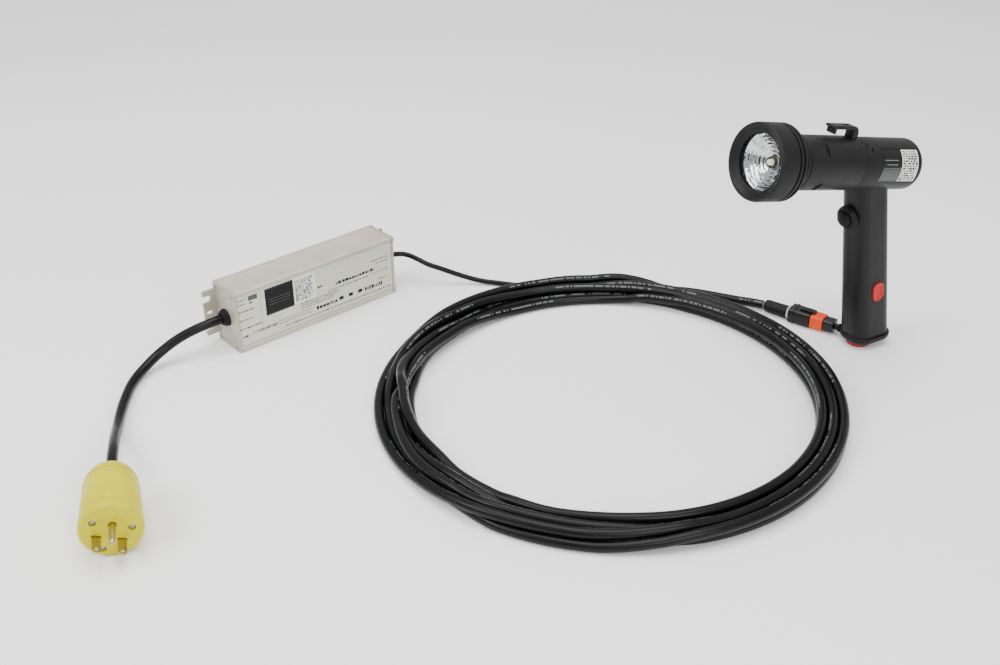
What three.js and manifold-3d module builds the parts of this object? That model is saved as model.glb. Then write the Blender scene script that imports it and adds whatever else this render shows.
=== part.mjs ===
// A pistol-grip lamp with its coiled lead, its power supply and its mains plug.
// Millimetres, +Z up. The origin is the middle of the round foot under the handle, on the floor.
// The beam points along -Y, tipped up a little, and the lamp's left side faces +X.

import * as THREE from 'three';
import { mergeVertices } from 'three/addons/utils/BufferGeometryUtils.js';
import Module from 'manifold-3d';

const wasm = await Module();
wasm.setup();

// Driving dimensions
const gap = 0.3;                 // clearance left between pieces that touch
const degree = Math.PI / 180;

const footRadius = 11;
const footHeight = 4;
const baseHeight = 8;            // thickness of the cap under the handle
const baseWidth = 35.5;
const baseDepth = 45;
const baseCorner = 14.5;
const baseSetback = 8;           // the handle's centreline meets the floor this far behind the foot

const handleRake = 11 * degree;  // the handle leans towards the beam as it rises
const handleLength = 189.8;      // from the floor to the barrel's axis, along the handle
const handleWidthTop = 28;
const handleDepthTop = 35;
const handleWidthLow = 32;
const handleDepthLow = 41;
const handleCorner = 12.5;
const handleWall = 2.4;

const barrelPitch = 12 * degree; // the beam points this far above the horizontal
const barrelRadius = 22.9;
const rearRadius = 22.3;
const barrelWall = 2.4;
const barrelFront = 128.3;       // from the handle's axis to the front of the bezel
const barrelRear = 48;           // from the handle's axis to the back of the rear housing
const seam = 24.6;               // where the front barrel meets the rear housing
const bezelRadius = 32;
const bezelLength = 27.5;
const lensRecess = 3.8;
const openingRadius = 23.2;

const triggerHeight = 144.5;
const triggerTravel = 3;
const sideButtonHeight = 62.6;
const sideButtonTravel = 1.2;

const supplyLength = 180;
const supplyDepth = 38.8;
const supplyHeight = 61.5;
const supplyWall = 2.6;
const plateThickness = 3;
const lugReach = 13;             // how far the mounting lugs stand out past each end plate

const leadDiameter = 5.2;        // from the power supply to the splice
const cordDiameter = 8.7;        // the long coiled cord
const mainsDiameter = 8.8;
const pigtailDiameter = 6;

const coilOuter = 203;
const coilInner = 164;
const coilHeight = 19;

const plugRadius = 23.3;
const plugLength = 68;

// Where the loose pieces lie on the floor
const coilCentre = [-32.8, -260.8];
const supplyPlace = [-303.4, -428.4];
const supplyTurn = 12 * degree;
const plugFacePlace = [-41, -684.1];
const plugTurn = -14 * degree;
const plugRoll = -19 * degree;
const connectorStart = [-22.8, -8.8, 8];
const connectorTurn = 203.6 * degree;

const looks = {
  housing: { color: 0x35363a, roughness: 0.62, metalness: 0 },
  rubber: { color: 0x1d1d1f, roughness: 0.8, metalness: 0 },
  cord: { color: 0x141416, roughness: 0.45, metalness: 0 },
  red: { color: 0xb3261e, roughness: 0.5, metalness: 0 },
  orange: { color: 0xe2581f, roughness: 0.45, metalness: 0 },
  yellow: { color: 0xd8cf3c, roughness: 0.5, metalness: 0 },
  supply: { color: 0xd3cec6, roughness: 0.5, metalness: 0.4 },
  plate: { color: 0xb5b7a6, roughness: 0.5, metalness: 0.3 },
  label: { color: 0xd5d6cb, roughness: 0.6, metalness: 0 },
  darkLabel: { color: 0x222324, roughness: 0.4, metalness: 0 },
  chrome: { color: 0xe6e8ea, roughness: 0.1, metalness: 1 },
  glass: { color: 0xeef4f6, roughness: 0.05, metalness: 0 },
  steel: { color: 0xa9a9a4, roughness: 0.35, metalness: 1 },
  brass: { color: 0xb89a5a, roughness: 0.35, metalness: 1 },
  board: { color: 0x1f5a3a, roughness: 0.6, metalness: 0 },
  aluminium: { color: 0xb8babc, roughness: 0.45, metalness: 1 },
  emitter: { color: 0xf1e6a0, roughness: 0.3, metalness: 0 },
  copper: { color: 0xa8642f, roughness: 0.5, metalness: 0.6 }
};

// Solids

function asSolid(geometry) {
  const bare = new THREE.BufferGeometry();
  bare.setAttribute('position', geometry.attributes.position.clone());
  bare.setIndex(geometry.index ? geometry.index.clone() : null);
  const merged = mergeVertices(bare, 1e-4);
  const corners = [];
  const index = merged.index.array;
  for (let i = 0; i < index.length; i += 3) {
    const [a, b, c] = [index[i], index[i + 1], index[i + 2]];
    if (a !== b && b !== c && c !== a) corners.push(a, b, c);
  }
  const vertProperties = new Float32Array(merged.attributes.position.array);
  return new wasm.Manifold(new wasm.Mesh({ numProp: 3, vertProperties, triVerts: new Uint32Array(corners) }));
}

function asGeometry(solid) {
  const mesh = solid.getMesh();
  const geometry = new THREE.BufferGeometry();
  const positions = new Float32Array((mesh.vertProperties.length / mesh.numProp) * 3);
  for (let i = 0; i < positions.length / 3; i += 1) {
    for (let k = 0; k < 3; k += 1) positions[3 * i + k] = mesh.vertProperties[mesh.numProp * i + k];
  }
  geometry.setAttribute('position', new THREE.BufferAttribute(positions, 3));
  geometry.setIndex(new THREE.BufferAttribute(new Uint32Array(mesh.triVerts), 1));
  geometry.computeVertexNormals();
  return geometry;
}

function cut(body, ...tools) {
  return asGeometry(tools.reduce((solid, tool) => solid.subtract(asSolid(tool)), asSolid(body)));
}

function join(...bodies) {
  return asGeometry(bodies.map(asSolid).reduce((sum, solid) => sum.add(solid)));
}

function overlap(body, tool) {
  return asGeometry(asSolid(body).intersect(asSolid(tool)));
}

function block(width, depth, height, at = [0, 0, 0]) {
  return new THREE.BoxGeometry(width, depth, height).translate(...at);
}

// A cylinder or cone along +Z, standing on the height given in at.
function rod(radius, length, at = [0, 0, 0], sides = 24, topRadius = radius) {
  const geometry = new THREE.CylinderGeometry(topRadius, radius, length, sides);
  return geometry.rotateX(Math.PI / 2).translate(at[0], at[1], at[2] + length / 2);
}

// A closed profile of [radius, height] points turned about Z.
function revolve(profile, sides = 48) {
  const points = [...profile, profile[0]].map(([r, z]) => new THREE.Vector2(r, z));
  const area = points.slice(1).reduce((sum, p, i) => sum + points[i].x * p.y - p.x * points[i].y, 0);
  if (area < 0) points.reverse();
  return new THREE.LatheGeometry(points, sides).rotateX(Math.PI / 2);
}

// The same, for a profile that starts and ends on the axis.
function turned(profile, sides = 32) {
  const points = profile.map(([r, z]) => new THREE.Vector2(r, z));
  return new THREE.LatheGeometry(points, sides).rotateX(Math.PI / 2);
}

function roundedRectangle(width, depth, corner) {
  const x = width / 2 - corner;
  const y = depth / 2 - corner;
  const shape = new THREE.Shape();
  shape.absarc(x, y, corner, 0, Math.PI / 2);
  shape.absarc(-x, y, corner, Math.PI / 2, Math.PI);
  shape.absarc(-x, -y, corner, Math.PI, 1.5 * Math.PI);
  shape.absarc(x, -y, corner, 1.5 * Math.PI, 2 * Math.PI);
  shape.closePath();
  return shape;
}

function extrude(shape, depth, { bevel = 0, curveSegments = 6 } = {}) {
  const settings = { depth: depth - 2 * bevel, bevelEnabled: bevel > 0, curveSegments };
  if (bevel > 0) {
    Object.assign(settings, { bevelThickness: bevel, bevelSize: bevel, bevelOffset: -bevel, bevelSegments: 1 });
  }
  return new THREE.ExtrudeGeometry(shape, settings).translate(0, 0, bevel);
}

// A round cord along a smooth curve, with flat closed ends.
function tube(points, diameter, steps, sides = 8) {
  const curve = new THREE.CatmullRomCurve3(points.map((p) => new THREE.Vector3(...p)), false, 'centripetal');
  const section = new THREE.Shape();
  for (let i = 0; i < sides; i += 1) {
    const angle = (2 * Math.PI * i) / sides;
    const method = i === 0 ? 'moveTo' : 'lineTo';
    section[method]((diameter / 2) * Math.cos(angle), (diameter / 2) * Math.sin(angle));
  }
  section.closePath();
  return new THREE.ExtrudeGeometry(section, { steps, bevelEnabled: false, extrudePath: curve });
}

function piece(group, name, geometry, look) {
  const mesh = new THREE.Mesh(geometry, new THREE.MeshStandardMaterial(looks[look]));
  mesh.name = name;
  group.add(mesh);
  return mesh;
}

const lamp = new THREE.Group();

// The handle's own frame: +Z runs up the handle, -Y faces forward.
const grip = new THREE.Group();
grip.position.set(0, baseSetback, 0);
grip.rotation.x = handleRake;
lamp.add(grip);

// The barrel's own frame: +Z runs along the beam, +Y points up, +X to the lamp's left.
const gripToBarrel = Math.PI / 2 - (barrelPitch + handleRake);
const barrel = new THREE.Group();
barrel.position.set(0, 0, handleLength);
barrel.rotation.x = gripToBarrel;
grip.add(barrel);

function addHead() {
  const front = barrelFront;
  const back = front - bezelLength;
  const lip = front - lensRecess;

  const grooves = [3.2, 7.4].flatMap((z) => [
    [bezelRadius, back + z], [bezelRadius - 1.4, back + z], [bezelRadius - 1.4, back + z + 1.6],
    [bezelRadius, back + z + 1.6]
  ]);
  piece(barrel, 'bezel_ring', revolve([
    [28.2, back], [bezelRadius - 1, back], [bezelRadius, back + 1], ...grooves,
    [bezelRadius, front - 1.5], [bezelRadius - 1.5, front], [bezelRadius - 3, front],
    [openingRadius + 0.8, lip], [openingRadius, lip - 0.8], [openingRadius, lip - 2],
    [28.2, lip - 2]
  ], 40), 'housing');

  const lensFront = lip - 2 - gap;
  piece(barrel, 'lens_glass', rod(27.6, 2.2, [0, 0, lensFront - 2.2], 48), 'glass');
  const sealFront = lensFront - 2.2 - gap;
  piece(barrel, 'lens_seal', revolve([
    [25, sealFront - 1.5], [27.6, sealFront - 1.5], [27.6, sealFront], [25, sealFront]
  ], 24), 'rubber');

  // The reflector is a thin paraboloid with a flat flange and a hole for the emitter.
  const rim = sealFront - 1.5 - gap;
  const dishDepth = 11;
  const dish = (radius) => rim - dishDepth + dishDepth * (radius / 24) ** 2;
  const inside = [5.5, 9, 13, 18, 23];
  const wall = 1.1;
  piece(barrel, 'reflector', revolve([
    ...inside.map((r) => [r, dish(r)]), [24, rim], [27.4, rim], [27.4, rim - 1.2], [24.6, rim - 1.2],
    ...inside.slice().reverse().map((r) => [r + 0.6, dish(r) - wall])
  ], 28), 'chrome');

  const boardTop = dish(5.5) - wall - gap;
  piece(barrel, 'led_board', rod(10, 1.6, [0, 0, boardTop - 1.6], 24), 'aluminium');
  piece(barrel, 'led_emitter', turned([
    [0, boardTop + gap], [4.6, boardTop + gap], [4.6, boardTop + 4.6], [3.9, boardTop + 5.2],
    [2.6, boardTop + 5.2], [2.5, boardTop + 6.4], [1.8, boardTop + 7.8], [0, boardTop + 8.3]
  ], 20), 'emitter');

  const sinkTop = boardTop - 1.6 - gap;
  const sinkLength = 26;
  const finCount = 4;
  const sinkSides = [];
  for (let i = 0; i < finCount; i += 1) {
    const z = sinkTop - sinkLength + 5 * i + 2;
    sinkSides.push([19.6, z], [19.6, z + 2.4], [13, z + 2.4], [13, z + 5]);
  }
  piece(barrel, 'heat_sink', turned([
    [0, sinkTop - sinkLength], [13, sinkTop - sinkLength], [13, sinkTop - sinkLength + 2], ...sinkSides,
    [19.6, sinkTop - 4], [19.6, sinkTop], [0, sinkTop]
  ], 20), 'aluminium');

  // The barrel ends in a flange that the bezel closes over, and carries four flats at its neck.
  const flangeFront = rim - 1.2 - gap;
  const flangeBack = back + 0.6;
  const bore = barrelRadius - barrelWall;
  const spigot = rearRadius - barrelWall - gap;
  const ringsAt = [85, 89.5];
  const neckRings = ringsAt.flatMap((z) => [
    [barrelRadius, z], [barrelRadius + 0.6, z + 0.6], [barrelRadius + 0.6, z + 2.2], [barrelRadius, z + 2.8]
  ]);
  const shell = revolve([
    [spigot - 2.4, seam - 9], [spigot, seam - 9], [spigot, seam + gap], [barrelRadius, seam + gap],
    ...neckRings, [barrelRadius, flangeBack - 2], [27.8, flangeBack], [27.8, flangeFront],
    [25, flangeFront], [bore, flangeFront - 8], [bore, seam + 6], [spigot - 2.4, seam + 3]
  ], 36);
  const flats = [];
  for (let i = 0; i < 4; i += 1) {
    const flat = block(20, 6, 17, [0, barrelRadius + 1.9, 75]);
    flats.push(flat.rotateZ((45 + 90 * i) * degree));
  }
  piece(barrel, 'front_barrel', cut(shell, ...flats), 'housing');

  piece(barrel, 'neck_seal', revolve([
    [barrelRadius + gap, 95.4], [barrelRadius + 1.6, 95.4], [barrelRadius + 1.6, 97.6],
    [barrelRadius + gap, 97.6]
  ], 36), 'rubber');
}

// A slab that follows the barrel's round side, between two radii, angles and heights.
function curvedSlab(inner, outer, from, to, low, high) {
  const shape = new THREE.Shape();
  shape.absarc(0, 0, outer, from, to, false);
  shape.absarc(0, 0, inner, to, from, true);
  shape.closePath();
  return extrude(shape, high - low, { curveSegments: 10 }).translate(0, 0, low);
}

function addRearHousing() {
  const bore = rearRadius - barrelWall;
  const shell = turned([
    [0, -barrelRear], [rearRadius - 6, -barrelRear], [rearRadius - 2, -barrelRear + 1.6],
    [rearRadius, -barrelRear + 5], [rearRadius, seam - 1], [rearRadius - 0.6, seam],
    [bore, seam], [bore, -barrelRear + 5], [bore - 3, -barrelRear + 3], [0, -barrelRear + 3]
  ], 36);
  const labelFrom = -28 * degree;
  const labelTo = 52 * degree;
  const labelBack = -41;
  const labelFront = 4.4;
  const pocket = curvedSlab(rearRadius - 0.9, rearRadius + 2, labelFrom, labelTo, labelBack, labelFront);
  const slot = block(2, 4.5, 1.6).rotateX(-25 * degree).translate(rearRadius - 0.2, 0, 14.5).rotateZ(48 * degree);
  const screwHole = rod(3.2, 6, [0, 0, 0], 20).rotateY(Math.PI / 2).translate(rearRadius - 1.1, 0, 20)
    .rotateZ(62 * degree);
  const wireHole = block(16, 20, 16, [0, -rearRadius + 4, -2]);
  piece(barrel, 'rear_housing', cut(shell, pocket, slot, screwHole, wireHole), 'housing');
  const margin = 0.5 / rearRadius;
  piece(barrel, 'rear_label', curvedSlab(rearRadius - 0.6, rearRadius - 0.1, labelFrom + margin,
    labelTo - margin, labelBack + 0.5, labelFront - 0.5), 'darkLabel');
  const screw = rod(2.7, 1.2, [0, 0, 0], 16).rotateY(Math.PI / 2).translate(rearRadius - 0.75, 0, 20);
  piece(barrel, 'housing_screw', screw.rotateZ(62 * degree), 'steel');
}

// The hook is a bent strap: a saddle on the barrel, a post, an arm forward and a ribbed lip.
function addHook() {
  const width = 9;
  const back = 25.4;
  const top = 33;
  const side = new THREE.Shape();
  const outline = [
    [back, barrelRadius + gap], [back + 6, barrelRadius + gap], [back + 6, top - 4], [back + 7.5, top - 3],
    [52, top - 3], [52, top - 6.6], [54.4, top - 6.6], [54.4, top - 2.6], [57, top - 2], [57, top],
    [back + 5, top], [back + 2.4, top - 1.4], [back + 1, top - 4]
  ];
  outline.forEach(([z, y], i) => (i === 0 ? side.moveTo(z, y) : side.lineTo(z, y)));
  side.closePath();
  // The outline lies in the barrel's Z-Y plane and is as thick as the strap is wide.
  const strap = extrude(side, width).rotateY(-Math.PI / 2).translate(width / 2, 0, 0);
  const saddle = rod(barrelRadius + gap, 60, [0, 0, 10], 48);
  const screwHole = rod(2.6, 8, [0, 0, 0], 16).rotateX(-Math.PI / 2).translate(0, top - 1.6, back + 13.5);
  piece(barrel, 'hang_hook', cut(strap, saddle, screwHole), 'housing');
  const head = rod(2.2, 1, [0, 0, 0], 16).rotateX(-Math.PI / 2).translate(0, top - 1.2, back + 13.5);
  piece(barrel, 'hook_screw', head, 'steel');
}

// The handle's section at a given height above the floor, tapering towards the top.
function handleBody(inset) {
  const section = roundedRectangle(handleWidthLow - 2 * inset, handleDepthLow - 2 * inset, handleCorner - inset);
  const body = extrude(section, handleLength, { curveSegments: 4 });
  const position = body.attributes.position;
  for (let i = 0; i < position.count; i += 1) {
    const rise = position.getZ(i) / handleLength;
    const wide = 1 - rise * (1 - handleWidthTop / handleWidthLow);
    const deep = 1 - rise * (1 - handleDepthTop / handleDepthLow);
    position.setXY(i, position.getX(i) * wide, position.getY(i) * deep);
  }
  return body;
}

// The front face of the tapered handle, measured from its axis.
const handleFrontAt = (height) =>
  (handleDepthLow - (height / handleLength) * (handleDepthLow - handleDepthTop)) / 2;
const handleSideAt = (height) =>
  (handleWidthLow - (height / handleLength) * (handleWidthLow - handleWidthTop)) / 2;

function addHandle() {
  const floorTilt = -handleRake;
  const belowCap = block(90, 90, 60).translate(0, 0, footHeight + baseHeight + gap - 30).rotateX(floorTilt);
  const barrelSpace = rod(rearRadius + gap, 120, [0, 0, -80], 48).rotateX(gripToBarrel)
    .translate(0, 0, handleLength);
  const frontSpace = rod(barrelRadius + gap, 90, [0, 0, seam - 2], 48).rotateX(gripToBarrel)
    .translate(0, 0, handleLength);
  const hollow = handleBody(handleWall).translate(0, 0, -1);
  const triggerHole = rod(8.9, 30, [0, 0, -15], 28).rotateX(Math.PI / 2)
    .translate(0, -handleFrontAt(triggerHeight), triggerHeight);
  const buttonHole = extrude(ovalShape(13.6, 20.4), 12, { curveSegments: 8 }).rotateY(Math.PI / 2)
    .rotateX(Math.PI / 2).translate(handleSideAt(sideButtonHeight) - 6, 1.5, sideButtonHeight);
  const screwHole = rod(2.9, 4, [0, 0, 0], 18).rotateY(Math.PI / 2)
    .translate(handleSideAt(152) - 1.5, 7, 152);
  const walls = cut(handleBody(0), hollow, belowCap, barrelSpace, frontSpace, triggerHole, buttonHole, screwHole);
  const half = (sign) => block(40, 90, 260, [sign * (20 + gap / 2), 0, 110]);
  piece(grip, 'handle_left_shell', overlap(walls, half(1)), 'housing');
  piece(grip, 'handle_right_shell', overlap(walls, half(-1)), 'housing');
  const screw = rod(2.5, 1, [0, 0, 0], 16).rotateY(Math.PI / 2).translate(handleSideAt(152) - 1.2, 7, 152);
  piece(grip, 'handle_screw', screw, 'steel');
}

// An upright oval: two half circles joined by straight sides.
function ovalShape(width, height) {
  const shape = new THREE.Shape();
  const straight = height / 2 - width / 2;
  shape.absarc(0, straight, width / 2, 0, Math.PI);
  shape.absarc(0, -straight, width / 2, Math.PI, 2 * Math.PI);
  shape.closePath();
  return shape;
}

function addTrigger() {
  const front = handleFrontAt(triggerHeight);
  const control = new THREE.Group();       // +Z points forward, out of the handle
  control.position.set(0, -front, triggerHeight);
  control.rotation.x = Math.PI / 2;
  grip.add(control);
  piece(control, 'trigger_collar', revolve([
    [7.3, -3], [8.6, -3], [8.6, 0.3], [10.6, 0.3], [11, 1.6], [10.4, 5], [8.8, 5.8], [7.3, 5.4]
  ], 24), 'rubber');
  piece(control, 'trigger_button', turned([
    [0, -4.6], [3, -4.6], [3, -2.4], [6.9, -2.4], [6.9, 7], [5.8, 9.2], [3.2, 10.3], [0, 10.6]
  ], 20), 'rubber');
  piece(control, 'trigger_switch', block(12, 12, 8, [0, 0, -4.6 - triggerTravel - gap - 4]), 'board');
}

function addSideButton() {
  const side = handleSideAt(sideButtonHeight);
  const control = new THREE.Group();       // +Z points out of the lamp's left side
  control.position.set(side, 1.5, sideButtonHeight);
  control.rotation.set(Math.PI / 2, Math.PI / 2, 0, 'XYZ');
  grip.add(control);
  const cap = extrude(ovalShape(13, 19.8), 5, { bevel: 0.6, curveSegments: 8 }).translate(0, 0, -3.7);
  const stem = rod(2, 3, [0, 0, -6.2], 14);
  piece(control, 'side_button', join(cap, stem), 'red');
  const bodyTop = -6.2 - sideButtonTravel - gap;
  piece(control, 'side_switch', block(10, 12, 4, [0, 0, bodyTop - 2]), 'board');
}

function addDriverBoard() {
  const board = block(1.6, 20, 52, [-2, 0, 102]);
  const choke = rod(6, 7, [0, 0, 0], 18).rotateY(Math.PI / 2).translate(-1.6, 2, 104);
  piece(grip, 'driver_board', join(board, choke), 'board');
}

function addBase() {
  const cap = new THREE.Group();
  cap.position.set(0, baseSetback - (footHeight + baseHeight / 2) * Math.tan(handleRake), 0);
  lamp.add(cap);
  const outline = roundedRectangle(baseWidth, baseDepth, baseCorner);
  const body = extrude(outline, baseHeight, { bevel: 0.8, curveSegments: 6 }).translate(0, 0, footHeight);
  const gland = rod(3.3, 14, [0, 0, 0], 20).rotateY(Math.PI / 2).rotateZ(connectorTurn)
    .translate(glandPoint[0] - cap.position.x, glandPoint[1] - cap.position.y, glandPoint[2])
    .translate(-8 * Math.cos(connectorTurn), -8 * Math.sin(connectorTurn), 0);
  const dowel = rod(5, 6, [0, 0 - cap.position.y, footHeight - 4], 20);
  piece(cap, 'base_cap', cut(body, gland, dowel), 'housing');
  piece(lamp, 'base_foot', turned([
    [0, 0], [footRadius - 0.8, 0], [footRadius, 0.8], [footRadius, footHeight - gap], [4.7, footHeight - gap],
    [4.7, footHeight + 1.6], [0, footHeight + 1.6]
  ], 24), 'red');
}

// The connector lies on the floor between the handle's base and the coil. Its frame's +X runs
// away from the lamp, towards the cord.
const connectorAxis = [Math.cos(connectorTurn), Math.sin(connectorTurn)];
const alongConnector = (distance) => [
  connectorStart[0] + distance * connectorAxis[0], connectorStart[1] + distance * connectorAxis[1],
  connectorStart[2]
];
const glandReach = 7.5;           // from the handle's base to the connector's tail
const glandPoint = alongConnector(-glandReach);
const tailLength = 10;
const wedgeLength = 12.5;
const bodyLength = 22;
const collarLength = 2.2;
const sleeveLength = 24;
const wedgeFrom = tailLength + gap;
const bodyFrom = wedgeFrom + wedgeLength + gap;
const collarFrom = bodyFrom + bodyLength + gap;
const sleeveFrom = collarFrom + collarLength + gap;

function addConnector() {
  const plug = new THREE.Group();
  plug.position.set(...connectorStart);
  plug.rotation.z = connectorTurn;
  lamp.add(plug);

  piece(plug, 'pigtail_gland', turned([
    [0, -5], [3, -5], [3, 1.6], [4.2, 1.6], [4.2, 2.4], [3.5, 4.4], [0, 4.4]
  ], 20).rotateY(Math.PI / 2).translate(-glandReach, 0, 0), 'rubber');
  const pigtailFrom = -glandReach + 4.4 + gap;
  piece(plug, 'pigtail_cord', tube([[pigtailFrom, 0, 0], [-1.4, 0, 0], [-gap, 0, 0]], pigtailDiameter, 3, 10),
    'cord');

  const rounded = (width, height) => roundedRectangle(height, width, 2.2);
  const along = (geometry, from) => geometry.rotateY(Math.PI / 2).translate(from, 0, 0);
  const tail = extrude(rounded(13, 11.6), tailLength, { bevel: 1, curveSegments: 3 });
  piece(plug, 'connector_tail', along(tail, 0), 'rubber');
  const wedge = extrude(rounded(15, 13), wedgeLength, { bevel: 0.6, curveSegments: 3 });
  piece(plug, 'connector_wedge', along(wedge, wedgeFrom), 'orange');
  const body = extrude(rounded(16.4, 14.2), bodyLength, { bevel: 0.8, curveSegments: 3 });
  const rib = extrude(rounded(17.4, 15.4), 2.4, { curveSegments: 3 });
  piece(plug, 'connector_body', join(along(body, bodyFrom), along(rib, bodyFrom + bodyLength - 6)), 'rubber');
  // The latch is a sprung lever on top of the body, hinged at its cord end.
  const leverLength = 13;
  const leverHeight = 8.1;
  const lever = block(leverLength, 6, 1.4, [bodyFrom + leverLength / 2 - 1, 0, leverHeight]);
  const hook = block(2, 6, 1.9, [bodyFrom - 2, 0, leverHeight - 0.25]);
  piece(plug, 'connector_latch', join(lever, hook), 'rubber');
  piece(plug, 'connector_collar', rod(6.8, collarLength, [0, 0, 0], 24).rotateY(Math.PI / 2)
    .translate(collarFrom, 0, -0.5), 'label');
}

// Cord routes. Each list is a chain of points on the cord's middle.
const mainsRoute = [
  [-283.3, -522.7, 30.8], [-281.2, -532.6, 30.7], [-280.8, -546, 28.6], [-282.4, -562, 23],
  [-281.6, -581, 14], [-273.5, -598.6, 7.4], [-259, -613.5, 4.8], [-239, -625, 4.7], [-216, -635.5, 5],
  [-192, -644, 7.4], [-168, -651.2, 13.6], [-146, -657, 19.2], [-127, -662.4, 21.4],
  [-107.4, -667.3, 21.5]
];
const leadRoute = [
  [-323.4, -334.1, 30.8], [-324.4, -325.5, 30.4], [-321.2, -315.5, 29], [-312, -308, 26.5],
  [-301.2, -300.6, 23], [-294.3, -289.6, 18.4], [-285.6, -272.2, 10.4], [-275, -255, 4.6],
  [-262.8, -238.6, 2.9], [-251.2, -226.4, 2.9], [-242.8, -217.6, 3.9], [-236.8, -207, 5.2]
];
const tailRoute = [
  [-166, -100.4, 4.5], [-153, -86, 4.45], [-139, -73, 4.45], [-124, -61.4, 4.6], [-110, -51.4, 5.2],
  [-99, -43.8, 6.1], [-90.2, -38.4, 6.5]
];

function addCords() {
  piece(lamp, 'mains_cord', tube(mainsRoute, mainsDiameter, 16, 10), 'cord');
  piece(lamp, 'output_lead', tube(leadRoute, leadDiameter, 16, 8), 'cord');
  piece(lamp, 'cord_tail', tube(tailRoute, cordDiameter, 5, 10), 'cord');

  const spliceTurn = 69 * degree;
  const splice = rod(5.1, 42, [0, 0, 0], 16).rotateY(Math.PI / 2).rotateZ(spliceTurn);
  piece(lamp, 'lead_splice', splice.translate(-236.2, -205.7, 5.2), 'rubber');

  const sleeve = rod(6.4, sleeveLength, [0, 0, 0], 16).rotateY(Math.PI / 2).rotateZ(connectorTurn);
  piece(lamp, 'cord_sleeve', sleeve.translate(...alongConnector(sleeveFrom)).translate(0, 0, -1.1),
    'rubber');

  const chamfer = 5;
  piece(lamp, 'cord_coil', revolve([
    [coilInner + chamfer, 0], [coilOuter - chamfer, 0], [coilOuter, chamfer], [coilOuter, coilHeight - chamfer],
    [coilOuter - chamfer, coilHeight], [coilInner + chamfer, coilHeight], [coilInner, coilHeight - chamfer],
    [coilInner, chamfer]
  ], 48).translate(coilCentre[0], coilCentre[1], 0.1), 'cord');
}

// The extrusion's outline: four corner lobes, with the sides between them set back.
function supplyOutline(inset) {
  const x = supplyDepth / 2 - inset;
  const z = supplyHeight / 2 - inset;
  const lobe = 5.5;
  const setBack = 1.6;
  const ramp = 1.6;
  const side = [
    [x, z - lobe], [x - setBack, z - lobe - ramp], [x - setBack, -z + lobe + ramp], [x, -z + lobe]
  ];
  const bottom = [
    [x - lobe, -z], [x - lobe - ramp, -z + setBack / 2], [-x + lobe + ramp, -z + setBack / 2], [-x + lobe, -z]
  ];
  const soft = 1.4;
  const corner = [[x, -z + soft], [x - soft, -z]];
  const half = [...side, ...corner, ...bottom, [-x + soft, -z], [-x, -z + soft]];
  const other = half.map(([a, b]) => [-a, -b]);
  const shape = new THREE.Shape();
  [...half, ...other].forEach(([a, b], i) => (i === 0 ? shape.moveTo(a, b) : shape.lineTo(a, b)));
  shape.closePath();
  return shape;
}

// Extruded along the supply's length: from is measured from its middle towards the output end.
function alongSupply(shape, length, from, settings) {
  return extrude(shape, length, settings).rotateX(-Math.PI / 2).rotateY(Math.PI)
    .translate(0, from, supplyHeight / 2);
}

function endPlate(sign) {
  const inner = supplyLength / 2 - plateThickness;
  const plate = alongSupply(supplyOutline(0), plateThickness, sign > 0 ? inner : -inner - plateThickness);
  const start = sign * (supplyLength / 2 - 1);
  const lugThickness = 2.6;
  const reach = lugReach + 1;
  const x = -supplyDepth / 2 + lugThickness / 2;
  const flange = block(lugThickness, reach, 46, [x, start + (sign * reach) / 2, supplyHeight / 2]);
  const slotAt = (z, height, length) => block(lugThickness + 2, length, height,
    [x, sign * (supplyLength / 2 + lugReach - 2), supplyHeight / 2 + z]);
  const window = block(lugThickness + 2, 5.4, 4.2, [x, sign * (supplyLength / 2 + lugReach / 2 + 1),
    supplyHeight / 2]);
  const glandHole = rod(7.4, 12, [0, 0, 0], 20).rotateX(sign > 0 ? -Math.PI / 2 : Math.PI / 2)
    .translate(0, sign * (inner - 3), supplyHeight / 2);
  return cut(join(plate, flange), slotAt(14.5, 9, 12), slotAt(-14.5, 9, 12), window, glandHole);
}

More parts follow.
